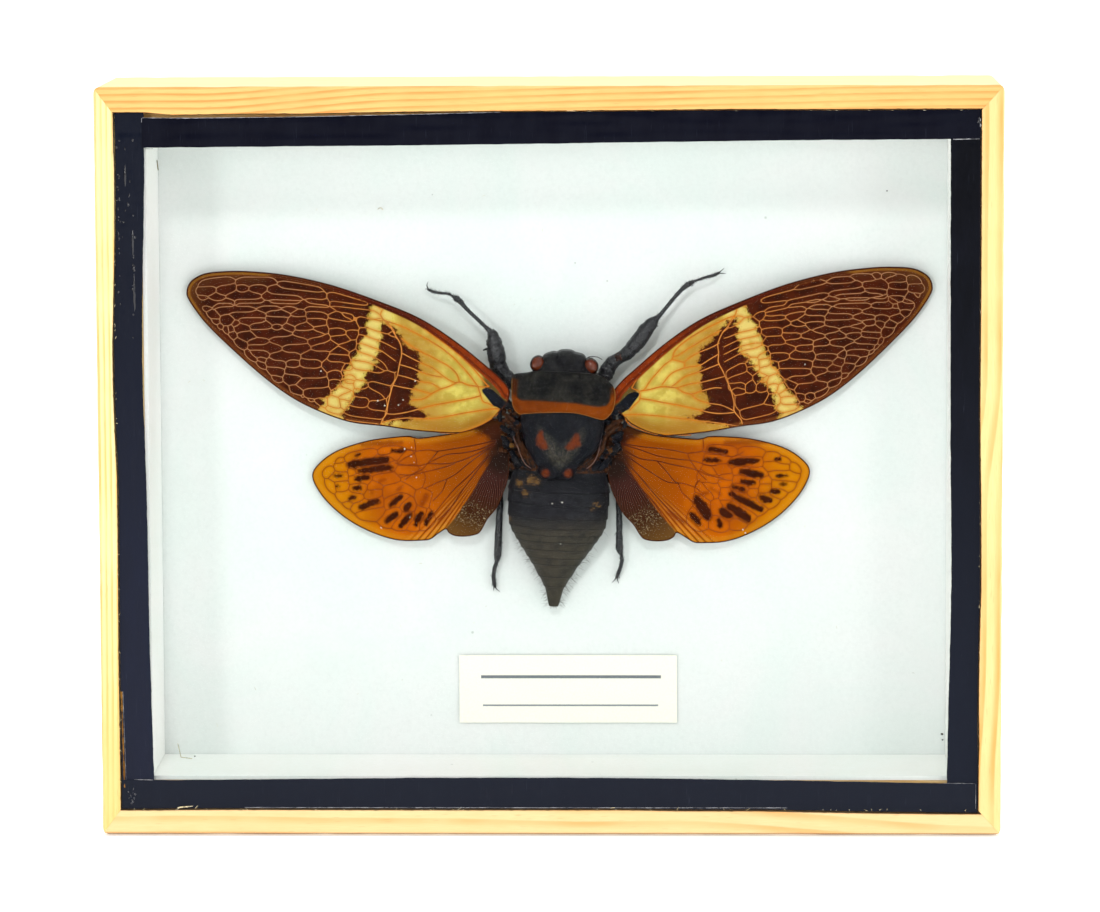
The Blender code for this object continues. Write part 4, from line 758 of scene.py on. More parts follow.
def card(name, tone, shadow, grain):
    """Matt card with a fibrous grain and a few specks."""
    p = Paint(name)
    fibre = p.noise(1.6, 5.0, 0.7)
    colour = p.coats(
        p.mix(p.step(fibre, 0.35, 0.85), tone, shadow),
        (p.times(p.step(p.noise(0.05, 2.0, 0.5), 0.4, 0.7), 0.35), shadow),
        (p.times(p.step(p.cells(0.09), 0.028, 0.016), 0.5), "9aa39a"),
    )
    return p.done(colour, p.step(fibre, 0.2, 0.8, 0.7, 0.9), p.bump(fibre, grain))


def label_paper():
    """Cream card with two plain printed rules."""
    p = Paint("label_paper")
    fibre = p.noise(3.0, 5.0, 0.7)
    colour = p.mix(p.step(fibre, 0.3, 0.8), "efecdf", "e9e5d5")
    spread = p.times(p.minus(p.noise(9.0, 2.0, 0.5), 0.5), 0.12)
    soft = 0.04
    for left, right, middle, width, ink in LABEL_RULES:
        off = p.math("ABSOLUTE", p.minus(p.z, middle))
        line = p.step(p.plus(off, spread), width / 2 + soft, width / 2 - soft)
        ends = p.times(p.step(p.x, left, left + 0.1), p.step(p.x, right, right - 0.1))
        colour = p.mix(p.times(line, ends), colour, ink)
    return p.done(colour, p.step(fibre, 0.2, 0.8, 0.6, 0.8), p.bump(fibre, 0.02))


def hardboard():
    """Brown board with pale flecks and scuffs."""
    p = Paint("brown_board")
    fibre = p.noise(1.2, 6.0, 0.75, twist=0.6)
    colour = p.coats(
        p.mix(p.step(fibre, 0.3, 0.75), "8a5f3c", "6b4629"),
        (p.times(p.step(p.cells(0.8), 0.25, 0.05), 0.5), "b08558"),
        (p.times(p.step(p.noise(0.12, 4.0, 0.6), 0.55, 0.75), 0.3), "a5815c"),
    )
    return p.done(colour, p.step(fibre, 0.2, 0.8, 0.55, 0.8), p.bump(fibre, 0.08))


def clear_glass():
    """A pane that lets light straight through and mirrors more towards grazing angles."""
    p = Paint("pane_glass")
    smear = p.noise(0.05, 5.0, 0.6, twist=1.0)
    clear = p.add("BsdfTransparent", {"Color": p.mix(p.step(smear, 0.3, 0.7), "ffffff", "fcfffe")})
    sheen = p.add("BsdfGlossy", {"Color": "ffffff", "Roughness": p.step(smear, 0.45, 0.75, 0.01, 0.05)})
    surface = p.add("MixShader", {0: p.add("Fresnel", {"IOR": 1.05}), 1: clear, 2: sheen})
    p.tree.links.new(surface, p.tree.nodes["Material Output"].inputs["Surface"])
    p.tree.nodes.remove(p.shader)
    return p.material


def membrane_done(p, colour, relief, rough):
    return p.done(colour, p.step(rough, 0.3, 0.8, 0.4, 0.6), p.bump(relief, 0.03), Specular_IOR_Level=0.02)


def membrane_fore(name):
    """Fore wing: yellow near the body, and brown with a pale band further out."""
    p = Paint(name)
    rough = p.noise(1.5, 4.0, 0.7)
    fine = p.noise(6.0, 3.0, 0.7)
    veins, rim, costa, tip, out = (p.field(f) for f in ("veins", "rim", "costa", "tip", "out"))
    jitter = p.blend(rough, 0.65, fine, 0.35)
    inked = p.math("MAXIMUM", p.field("far"), p.field("patch"))
    crumbs = p.times(p.step(p.noise(4.2, 2.0, 0.6), 0.63, 0.68), p.step(inked, -1.5, -0.2, 0.0, 0.9))
    dark = p.math("MAXIMUM", p.edge(inked, 0.16, jitter, 1.5), crumbs)
    cloud = p.step(p.noise(0.5, 3.0, 0.6), 0.35, 0.65)
    dot = p.times(p.step(p.cells(2.6), 0.12, 0.07), p.step(rough, 0.5, 0.62))
    # A darker band along the inner margin near the base.
    wear_and_shade = p.times(p.step(rim, 3.8, 0.8), p.step(costa, 2.0, 4.5))
    glow = p.math("POWER", p.step(veins, 0.7, 0.08), 1.5)
    yellow = p.coats(
        p.mix(cloud, "c6b156", "a8913c"),
        (p.step(out, 9.0, 2.0, 0.0, 0.6), "b3a04c"),
        (p.times(p.step(p.field("inner"), 0.3, 1.2), 0.8), "cab266"),
        (p.times(dot, 0.5), "6e4a1c"),
        (p.times(p.times(wear_and_shade, p.step(out, 18.0, 12.0)), 0.9), "8a5814"),
        (p.times(p.step(inked, -6.5, -0.5, 0.0, 0.75), p.step(out, 19.5, 17.5)), "9a6a24"),
        (p.times(glow, 0.6), "b87420"),
        (p.times(p.edge(inked, 0.5, jitter, 1.7), 0.85), "9c4c0a"),
    )
    brown = p.coats(
        p.mix(cloud, "431808", "2d1006"),
        (p.step(fine, 0.5, 0.8, 0.0, 0.3), "5a2910"),
        (p.times(p.step(veins, 0.3, 0.05), 0.5), "6b2f0e"),
        (p.step(tip, -1.0, 1.6, 0.0, 0.85), p.mix(cloud, "4a2513", "583216")),
    )
    red = p.coats(
        p.mix(p.step(p.noise(0.8, 3.0, 0.6), 0.35, 0.65), "82300b", "6c260c"),
        (p.step(out, 7.0, 17.0), "4d1a0b"),
        (p.step(out, 26.0, 34.0), "522711"),
    )
    base = p.times(p.step(out, 4.4, 3.2), p.step(costa, 2.9, 2.3))
    seam = p.times(p.step(costa, 0.7, 0.85), p.step(costa, 1.15, 1.0))
    gilt = p.times(p.times(p.step(rim, 0.75, 0.5), p.step(rim, 0.2, 0.32)), p.step(tip, -0.5, 1.0))
    colour = p.coats(
        yellow,
        (dark, brown),
        (p.times(p.step(rim, 0.95, 0.45), p.times(dark, 0.8)), p.mix(cloud, "5c2c12", "6e3a1a")),
        (p.times(base, 0.85), "2a0f0a"),
        (p.step(costa, 1.5, 1.25), red),
        (p.times(seam, 0.55), "2c0f07"),
        (p.step(rim, 0.28, 0.12), "2a110a"),
        (p.times(gilt, 0.75), "8a5a1e"),
        (p.edge("cell", 0.12), p.mix(cloud, "0f1014", "161922")),
    )
    return membrane_done(p, colour, p.blend(rough, 0.6, fine, 0.4), rough)


def membrane_hind(name):
    """Hind wing: orange with dark spots, and a brown pleated lobe next to the body."""
    p = Paint(name)
    rough = p.noise(1.5, 4.0, 0.7)
    fine = p.noise(6.0, 3.0, 0.7)
    veins, rim, reach, fold = (p.field(f) for f in ("veins", "rim", "reach", "fold"))
    cloud = p.step(p.noise(0.25, 3.0, 0.6), 0.35, 0.65)
    pleat = p.math("SINE", p.times(fold, 2.6))
    inward = p.step(fold, -43.0, -50.0)
    pleated = p.times(inward, p.step(reach, 5.0, 9.0))
    stripe = p.times(p.step(pleat, -0.1, 0.7), pleated)
    crease = p.times(p.step(pleat, -0.55, -0.9), inward)
    scuff = p.times(p.step(p.noise(3.5, 4.0, 0.8), 0.56, 0.64), p.step(reach, 9.0, 10.5))
    lobe = p.coats(
        p.mix(p.step(reach, 4.0, 11.0), "22110c", "341b0b"),
        (p.step(reach, 11.0, 16.5), "5d3e1c"),
        (p.times(p.step(pleat, 0.4, 0.9), p.step(reach, 12.0, 6.0)), "58302a"),
        (p.times(scuff, p.step(reach, 14.5, 13.0, 0.0, 0.7)), "c8b088"),
    )
    colour = p.coats(
        p.mix(cloud, "b45700", "9c4700"),
        (p.step(reach, 19.0, 8.0), "853e02"),
        (p.step(reach, 22.0, 31.0, 0.0, 0.8), "be7800"),
        (p.step(rim, 1.5, 0.4, 0.0, 0.5), "bd7a16"),
        (p.times(p.step(veins, 0.5, 0.08), 0.4), "96440c"),
        (p.times(stripe, 0.35), p.mix(p.step(reach, 10.0, 15.0), "9a5c18", "b88a3c")),
        (p.times(crease, 0.75), "4a1f0c"),
        (p.times(p.edge("blushes", 0.4, fine, 0.3), 0.7), "6e2a08"),
        (p.times(p.edge("spots", 0.6, rough, 0.5), 0.6), "823608"),
        (p.times(p.edge("spots", 0.26, rough, 0.6), 0.97), p.mix(cloud, "240a03", "321106")),
        (p.edge("lobe", 0.2, rough, 0.25), lobe),
        (p.times(p.edge("root", 0.7, rough, 0.8), 0.92), "2e140c"),
        (p.step(reach, 4.6, 1.8, 0.0, 0.92), "1f130e"),
        (p.step(rim, 0.25, 0.1), "3c1e0c"),
    )
    relief = p.plus(p.blend(rough, 0.6, fine, 0.4), p.times(pleat, p.times(pleated, 0.6)))
    return membrane_done(p, colour, relief, rough)


def vein_colour(name, pale, near, far):
    """Veins, with the first colour in the light areas and two more in the dark ones, inner and outer."""
    p = Paint(name)
    rough = p.noise(2.5, 3.0, 0.6)
    deep = p.mix(p.step(p.field("out"), 24.0, 40.0), near, far)
    colour = p.coats(
        pale,
        (p.step(p.field("deep"), -0.6, 0.6), deep),
        (p.step(p.noise(0.4, 2.0, 0.5), 0.45, 0.7, 0.0, 0.4), "7a4426"),
        (p.step(rough, 0.4, 0.8, 0.0, 0.3), "6a2c12"),
        (p.field("rimmed"), "3c1a0b"),
    )
    return p.done(colour, p.step(rough, 0.3, 0.8, 0.3, 0.5), p.bump(rough, 0.02), Specular_IOR_Level=0.05)


def cuticle(name, tone, second, dust, extra=None, grain=0.05, gloss=(0.34, 0.62), shine=0.045):
    """Dark insect skin: fine pitted texture, clouds of a second colour and pale dust."""
    p = Paint(name)
    cloud = p.noise(0.35, 4.0, 0.65)
    fine = p.noise(4.5, 5.0, 0.75)
    pits = p.step(p.cells(2.6), 0.1, 0.4)
    colour = p.coats(
        p.mix(p.step(cloud, 0.38, 0.62), tone, second),
        (p.step(p.noise(1.6, 3.0, 0.7), 0.5, 0.36, 0.0, 0.65), "08080a"),
        (p.times(p.step(fine, 0.56, 0.74), 0.4), dust),
    )
    if extra is not None:
        colour = extra(p, colour, fine)
    relief = p.blend(fine, 0.7, pits, 0.4)
    return p.done(colour, p.step(fine, 0.3, 0.7, *gloss), p.bump(relief, grain), Specular_IOR_Level=shine)


def plain(name, tone, second, dust, grain=0.01):
    """The same texture, nearly flat, for fibres, crumbs and edges."""
    return cuticle(name, tone, second, dust, grain=grain)


def collar(p, colour, fine):
    """The orange edge of the neck shield."""
    orange = p.coats(
        p.mix(p.step(p.noise(0.8, 4.0, 0.6), 0.35, 0.7), "763304", "602603"),
        (p.step(p.x, -8.0, 8.0, 0.0, 0.5), "863f06"),
        (p.times(p.step(fine, 0.45, 0.7), 0.55), "4e1f06"),
        (p.step(p.z, 72.7, 74.1, 0.0, 0.9), "351809"),
        # A pale line along the very rim: painted highlight.
        (p.step(p.field("rim"), 0.14, 0.05, 0.0, 0.7), "b07a3c"),
    )
    return p.coats(
        colour,
        (p.edge("band", 0.5, fine, 0.5), "4a2c10"),
        (p.edge("band", 0.2, fine, 0.5), orange),
    )


def back_marks(p, colour, fine):
    """Dust in a V and the red marks of the back."""
    red = p.mix(p.step(p.noise(1.5, 3.0, 0.6), 0.35, 0.7), "662b11", "4c1e0c")
    dusty = p.times(p.step(p.field("dust"), -1.2, 1.0), p.step(fine, 0.42, 0.66))
    return p.coats(
        colour,
        (p.times(dusty, 0.5), "77705c"),
        (p.edge("spots", 0.32, fine, 0.7), red),
    )


def rings(p, colour, fine):
    """A browner tail, dark creases between the rings and a few tan blots."""
    tail = p.mix(p.step(p.noise(0.7, 4.0, 0.7), 0.4, 0.7), "3b362e", "2b2926")
    streak = p.noise(2.0, 4.0, 0.75, stretch=(1, 1, 2.6), twist=0.4)
    blot = p.mix(p.step(fine, 0.4, 0.7), "64431b", "8c6c3e")
    return p.coats(
        colour,
        (p.step(p.z, 53.5, 48.5), tail),
        (p.times(p.step(p.field("ring"), 0.3, 0.05), 0.55), "0d0d10"),
        (p.times(p.edge("marks", 0.25, streak, 1.7), 0.75), blot),
    )


def mottle(p, colour, fine):
    """Brown and tan patches."""
    return p.coats(
        colour,
        (p.times(p.step(p.noise(1.3, 4.0, 0.7), 0.48, 0.6), 0.8), "4a2a16"),
        (p.step(p.noise(2.1, 3.0, 0.7), 0.66, 0.74, 0.0, 0.7), "7a4a22"),
    )


def eye_skin():
    """Red-brown faceted eyes, with painted shade darkening them towards their outline."""
    p = Paint("eye_skin")
    cloud = p.noise(0.9, 3.0, 0.6)
    facing = p.add("LayerWeight", {"Blend": 0.45}, output="Facing")
    colour = p.coats(
        p.mix(p.step(cloud, 0.35, 0.7), "5f260f", "471709"),
        (p.step(p.noise(2.4, 2.0, 0.5), 0.6, 0.75), "6d311c"),
        # Darker where the surface turns away from the view: painted shade.
        (p.step(facing, 0.1, 0.45, 0.0, 0.9), "1c0d08"),
    )
    return p.done(colour, p.step(cloud, 0.3, 0.8, 0.2, 0.3), p.bump(p.cells(7.0), 0.012),
                  Specular_IOR_Level=0.05, Coat_Weight=0.6, Coat_Roughness=0.06)


# ---- Meshes ----


def put(name, data):
    """Puts a mesh, a lamp or a camera in the scene."""
    made = bpy.data.objects.new(name, data)
    bpy.context.scene.collection.objects.link(made)
    return made


def wave(x, y, z):
    """Smooth noise at a place, about from -1 to 1."""
    return noise.noise(Vector((x, y, z)))


def ring_faces(rings, around):
    """Faces of a closed skin over rings of points, capped at both ends."""
    faces = []
    for start in range(0, (rings - 1) * around, around):
        for k in range(around):
            a, b = start + k, start + (k + 1) % around
            faces.append((a, b, b + around, a + around))
    last = (rings - 1) * around
    return faces + [tuple(range(around))[::-1], tuple(range(last, last + around))]


def sheet_faces(across, deep):
    """Faces of a sheet with a grid of points in front, one like it behind, and walls between them."""
    wide, total = deep + 1, (across + 1) * (deep + 1)
    faces = []
    for i in range(across):
        for k in range(i * wide, i * wide + deep):
            faces.append((k, k + 1, k + wide + 1, k + wide))
            faces.append((total + k, total + k + wide, total + k + wide + 1, total + k + 1))
    rim = list(range(wide)) + [i * wide + deep for i in range(1, across + 1)]
    rim += [across * wide + j for j in range(deep - 1, -1, -1)] + [i * wide for i in range(across - 1, 0, -1)]
    return faces + [(p, q, total + q, total + p) for p, q in zip(rim, rim[1:] + rim[:1])]


def slab_faces(faces, edges, total):
    """Faces of a slab: the given ones in front, the same behind, and walls along the edges."""
    back = [tuple(total + i for i in face[::-1]) for face in faces]
    return faces + back + [(j, i, total + i, total + j) for i, j in edges]


class Shape:
    """Points and faces in millimetres, with named numbers at the points."""

    def __init__(self, *fields):
        self.points, self.faces = [], []
        self.fields = {name: [] for name in fields}

    def add(self, points, faces, **values):
        start = len(self.points)
        self.points.extend(points)
        self.faces.extend([tuple(start + i for i in face) for face in faces])
        for name, held in self.fields.items():
            value = values.get(name, 0.0)
            held.extend(value if hasattr(value, "__len__") else [value] * len(points))

    def tube(self, line, radii, sides=6, flat=1.0, **values):
        """A closed tube along a line. Flat is its thickness towards the glass over its width."""
        line = [Vector(p) for p in line]
        points = []
        for i, centre in enumerate(line):
            along = (line[min(i + 1, len(line) - 1)] - line[max(i - 1, 0)]).normalized()
            sideways = along.cross(TO_GLASS)
            sideways = sideways.normalized() if sideways.length > 1e-4 else Vector((1, 0, 0))
            upward = sideways.cross(along)
            radius = radii[i] if hasattr(radii, "__len__") else radii
            for k in range(sides):
                turn = 2 * math.pi * (k + 0.5) / sides
                out = sideways * radius * math.cos(turn) + upward * radius * flat * math.sin(turn)
                points.append(centre + out)
        self.add(points, ring_faces(len(line), sides), **values)

    def lump(self, centre, radii, seed=0.0, rough=0.15, rings=10, turn=0.0):
        """A rounded knob with an uneven surface."""
        centre = Vector(centre)
        spin = Matrix.Rotation(turn, 3, "Y")
        wide = 2 * rings
        points, faces = [], []
        for i in range(rings + 1):
            tilt = math.pi * i / rings
            for k in range(1 if i in (0, rings) else wide):
                angle = 2 * math.pi * k / wide
                ring = math.sin(tilt)
                way = Vector((ring * math.cos(angle), -math.cos(tilt), ring * math.sin(angle)))
                bulge = 1 + rough * noise.noise(way * 2.2 + Vector((seed, 3.1 * seed, 0)))
                points.append(centre + spin @ Vector((w * r * bulge for w, r in zip(way, radii))))
        last = 1 + (rings - 2) * wide
        for k in range(wide):
            j = (k + 1) % wide
            faces.append((0, 1 + j, 1 + k))
            for a in range(1, last, wide):
                faces.append((a + k, a + j, a + wide + j, a + wide + k))
            faces.append((last + k, last + j, len(points) - 1))
        self.add(points, faces)

    def piece(self, name, material, slot, replaces=(), smooth=True, mend=False):
        """Makes the mesh. Mend turns every face outward."""
        data = bpy.data.meshes.new(name)
        data.from_pydata([tuple(c * MM for c in p) for p in self.points], [], self.faces)
        data.validate()
        for key, values in self.fields.items():
            data.attributes.new(key, "FLOAT", "POINT").data.foreach_set("value", np.array(values, np.float32))
        data.materials.append(material)
        if smooth:
            data.shade_smooth()
            data.set_sharp_from_angle(angle=math.radians(50))
        made = put(name, data)
        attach(made, "root")
        if replaces:
            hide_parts(*replaces)
        if mend:
            mesh = bmesh.new()
            mesh.from_mesh(data)
            bmesh.ops.recalc_face_normals(mesh, faces=mesh.faces[:])
            mesh.to_mesh(data)
            mesh.free()


def curve(points, steps, closed=False):
    """A smooth run through the points, with that many steps between each two."""
    count = len(points)
    result = []
    for i in range(count if closed else count - 1):
        picks = [(i + k) % count if closed else min(max(i + k, 0), count - 1) for k in (-1, 0, 1, 2)]
        p0, p1, p2, p3 = (np.array(points[k], float) for k in picks)
        for step in range(steps):
            t = step / steps
            result.append(0.5 * (2 * p1 + (p2 - p0) * t + (2 * p0 - 5 * p1 + 4 * p2 - p3) * t * t
                                 + (3 * p1 - p0 - 3 * p2 + p3) * t ** 3))
    if not closed:
        result.append(np.array(points[-1], float))
    return np.array(result)


def to_lines(points, corners, closed=True):
    """Distance from each point to the nearest of the lines between the corners."""
    points, corners = np.asarray(points, float), np.asarray(corners, float)
    ends = np.roll(corners, -1, axis=0) if closed else corners[1:]
    starts = corners if closed else corners[:-1]
    best = np.full(len(points), np.inf)
    for a, b in zip(starts, ends):
        run = b - a
        t = np.clip(((points - a) @ run) / max(run @ run, 1e-12), 0, 1)
        best = np.minimum(best, np.hypot(*(points - a - t[:, None] * run).T))
    return best


def within(points, corners):
    """Whether each point lies inside an outline."""
    points, corners = np.asarray(points, float), np.asarray(corners, float)
    x, y = points[:, 0], points[:, 1]
    inside = np.zeros(len(points), bool)
    for a, b in zip(corners, np.roll(corners, -1, axis=0)):
        if a[1] != b[1]:
            spans = (a[1] > y) != (b[1] > y)
            inside ^= spans & (x < a[0] + (y - a[1]) * (b[0] - a[0]) / (b[1] - a[1]))
    return inside


def depth_in(points, corners):
    """How far inside an outline each point is, below 0 outside it."""
    return np.where(within(points, corners), 1.0, -1.0) * to_lines(points, corners)


def mesh_in(outline, spacing, clear=0.6):
    """The points and triangles of a flat outline, its edge first."""
    low, high = outline.min(0), outline.max(0)
    grid = []
    for i, row in enumerate(np.arange(low[1], high[1], spacing * 0.87)):
        across = np.arange(low[0] + (i % 2) * spacing / 2, high[0], spacing)
        grid.append(np.column_stack([across, np.full(len(across), row)]))
    grid = np.vstack(grid)
    grid = grid[within(grid, outline)]
    grid = grid[to_lines(grid, outline) > clear * spacing]
    points = [Vector(p) for p in outline] + [Vector(p) for p in grid]
    count = len(outline)
    edges = [(i, (i + 1) % count) for i in range(count)]
    verts, _, faces, *_ = delaunay_2d_cdt(points, edges, [], 1, 1e-6)
    return np.array([tuple(v) for v in verts]), [tuple(f) for f in faces], edges


def place(across, up, height):
    """Across and up in the box, and the height above the backing card, as a point."""
    return (across, BACKING_Y - height, up)


def body_point(side, along):
    """Sideways and along the body to across and up in the box."""
    cos, sin = math.cos(BODY_TURN), math.sin(BODY_TURN)
    return (BODY_CENTRE[0] + side * cos + along * sin, BODY_CENTRE[1] - side * sin + along * cos)


def body_side(across, up):
    """The other way: across and up in the box to sideways and along the body."""
    cos, sin = math.cos(BODY_TURN), math.sin(BODY_TURN)
    dx, dz = across - BODY_CENTRE[0], up - BODY_CENTRE[1]
    return (dx * cos - dz * sin, dx * sin + dz * cos)


# ---- The box ----


def split_run(points, step, closed=True, least=1):
    """Adds points along the straight runs between the points."""
    result = []
    for (ax, ay), (bx, by) in zip(points, points[1:] + points[:1] if closed else points[1:]):
        count = max(least, int(math.hypot(bx - ax, by - ay) / step))
        result += [(ax + (bx - ax) * i / count, ay + (by - ay) * i / count) for i in range(count)]
    return result if closed else result + [points[-1]]


def arc(centre, radius, start, end, steps=6):
    angles = [math.radians(start + (end - start) * i / steps) for i in range(steps + 1)]
    return [(centre[0] + radius * math.cos(a), centre[1] + radius * math.sin(a)) for a in angles]


def rail_profile(side):
    """A rail's section: places inward from its outer face, and depths from front to back."""
    lip, wall = LIP[side], WALL[side]
    ledge = wall - BACK_RABBET
    front, edge, back = FRONT_ROUND, LIP_ROUND, BACK_ROUND
    return split_run(
        arc((front, FRONT_Y + front), front, 180, 270)
        + arc((lip - edge, FRONT_Y + edge), edge, 270, 360, 2)
        + [(lip, LIP_BACK_Y), (wall, LIP_BACK_Y), (wall, RABBET_Y), (ledge, RABBET_Y), (ledge, BACK_Y)]
        + arc((back, BACK_Y - back), back, 90, 180),
        0.7,
    )


def mitre(side, inward, end):
    """How far in a rail's end lies, so that the lips and the walls of two rails meet at the corners."""
    other = ("left", "right")[end > 0] if side in LEVEL else ("bottom", "top")[end > 0]
    if inward <= LIP[side]:
        return MITRE_GAP + inward * LIP[other] / LIP[side]
    share = (inward - LIP[side]) / (WALL[side] - LIP[side])
    return MITRE_GAP + LIP[other] + share * (WALL[other] - LIP[other])


def rail_point(side, inward, depth, end):
    """A point of a rail. The end goes from -1 to 1 along it."""
    cut = mitre(side, inward, end)
    if side in LEVEL:
        return [end * (HALF_WIDTH - cut), depth, FRAME_HEIGHT - inward if side == "top" else inward]
    across = HALF_WIDTH - inward if side == "right" else inward - HALF_WIDTH
    return [across, depth, FRAME_HEIGHT / 2 + end * (FRAME_HEIGHT / 2 - cut)]


def round_corner(x, z):
    """Draws a point beyond the frame's rounded corners in onto them."""
    radius = CORNER_RADIUS - 0.02
    cx = math.copysign(HALF_WIDTH - CORNER_RADIUS, x)
    cz = CORNER_RADIUS if z < FRAME_HEIGHT / 2 else FRAME_HEIGHT - CORNER_RADIUS
    dx, dz = x - cx, z - cz
    past = math.hypot(dx, dz)
    if dx * cx > 0 and dz * (cz - FRAME_HEIGHT / 2) > 0 and past > radius:
        return cx + dx * radius / past, cz + dz * radius / past
    return x, z


def make_rail(side, *looks):
    """A mitred rail, its outer edge rubbed back and its inner one ragged."""
    profile = rail_profile(side)
    lip, wall, seed = LIP[side], WALL[side], len(side)
    # Share of the pale outer tone: full on the top rail, whose top face is painted paler for the light from
    # above, and less elsewhere.
    pale = 1.0 if side == "top" else 0.42
    ends = [-1, -0.9985] + [-0.997 + 1.994 * i / RAIL_STEPS for i in range(RAIL_STEPS + 1)] + [0.9985, 1]
    points, inner, outer = [], [], []
    for end in ends:
        bevel = MITRE_BEVEL if abs(end) == 1 else 0.0
        along = end * HALF_WIDTH if side in LEVEL else (1 + end) * FRAME_HEIGHT / 2
        stray = np.interp(along, *zip(*LIP_STRAY[side]))
        for d, y in profile:
            lift = max(0.0, 0.015 + 0.02 * (wave((end + 2) * 9, d * 2.2, y * 2.2 + seed) + 0.4))
            at_edge = max(0.0, 1 - abs(d - lip) / 0.5) * max(0.0, 1 - abs(y - FRONT_Y) / 0.9)
            chip = 0.03 + 0.13 * max(0.0, wave(end * 70, 5.0 * seed, 0) + 0.5 * wave(end * 190, 1, 7))
            # How far the outer edge is rubbed back, as real wear of the shape.
            wear_and_shade = 0.12 * max(0.0, wave(end * 16, seed, y * 0.3)) * max(0.0, 1 - d / 1.2)
            inward = d - at_edge * chip + (lift + wear_and_shade + bevel if d < 1.0 else 0.0)
            if y < LIP_BACK_Y + 0.1:
                on_lip = min(1.0, max(0.0, (d - FRONT_ROUND) / (lip - FRONT_ROUND)))
                inward += stray * (on_lip if d <= lip else (wall - d) / (wall - lip))
            depth = y + (lift + bevel + 0.4 * at_edge * chip if y < -15.0 else 0)
            if y > 15:
                depth = min(depth, BACK_Y - 0.01)
            x, depth, z = rail_point(side, inward, depth, end)
            x, z = round_corner(x, z)
            points.append((x, depth, z))
            inner.append(abs(d - lip) if y < LIP_BACK_Y + 0.5 else FAR_OFF)
            outer.append(pale * float(d < 0.3) * min(1.0, max(0.0, (y + 15.4) / 0.4)))
    shape = Shape("inner", "outer")
    shape.add(points, ring_faces(len(ends), len(profile)), inner=inner, outer=outer)
    wood = pine("pine_" + side, side not in LEVEL, *looks)
    shape.piece("pine_rail_" + side, wood, "pine", ["rail_" + side], mend=True)


def make_tape(side, corners, front, relief, material, steps):
    """A strip of tape with a wrinkled face, between four corners given from its outer edge."""
    across, deep = steps
    a, b, c, d = (np.array(p, float) for p in corners)
    shift = random.Random(side).random() * 50
    top, under = [], []
    for i in range(across + 1):
        for j in range(deep + 1):
            u, v = i / across, j / deep
            x, z = (1 - v) * ((1 - u) * a + u * b) + v * ((1 - u) * d + u * c)
            along = x if side in LEVEL else z
            outer, inner = (np.interp(along, *zip(*stray[side])) for stray in (LIP_STRAY, TAPE_STRAY))
            move = (1 - v) * outer + v * inner
            x, z = x + move * INWARD[side][0], z + move * INWARD[side][1]
            if side == "top":
                z = min(z, np.interp(x, *zip(*TOP_EDGE)))
            if j == deep:
                wobble = 0.06 * wave(u * 40 + shift, 0, 0) + 0.03 * wave(u * 190, shift, 0)
                x, z = (x, z + wobble) if side in LEVEL else (x + wobble, z)
            fade = min(1.0, 6 * v, 6 * (1 - v), 20 * u, 20 * (1 - u))
            top.append((x, front - relief(x, z) * fade, z))
            under.append((x, front + TAPE_THICKNESS, z))
    shape = Shape()
    shape.add(top + under, sheet_faces(across, deep))
    shape.piece("glossy_tape_" + side, material, "black_tape", ["tape_" + side], mend=True)


def creased(x, z):
    """Relief of a strip that was stuck down with long creases, calmer at its ends."""
    long, small = wave(x * 0.9, z * 0.12, 3.0), wave(x * 1.6, z * 1.1, 9.0)
    return (0.09 * (long + 0.45) + 0.02 * small) * (1 if 9 < z < 119 else 0.2)


def half_creased(x, z):
    return 0.4 * creased(x, z - 60) if 9.5 <= z <= 117 else 0.0


def calm(x, z):
    """Relief of a flat strip, with a lifted patch at the bottom left corner."""
    corner = math.exp(-((x + 70.5) ** 2 + (z - 7.0) ** 2) / 3.5)
    return 0.035 * (wave(x * 0.1, z * 0.7, 5.0) + 0.5) + 0.16 * corner * (0.7 + wave(x * 2.2, z * 2.2, 1))


def edge_line(shape, corners, y, width):
    """A thin broken line along a cut edge of the tape."""
    run = split_run(corners, 0.35, closed=False, least=2)
    radii = [width / 2 * max(0.25, 0.8 + 0.9 * wave(x * 0.9, z * 0.9, 4.0)) for x, z in run]
    shape.tube([(x, y - 0.03, z + 0.04 * wave(x * 1.7, z * 1.7, y)) for x, z in run], radii, 5)


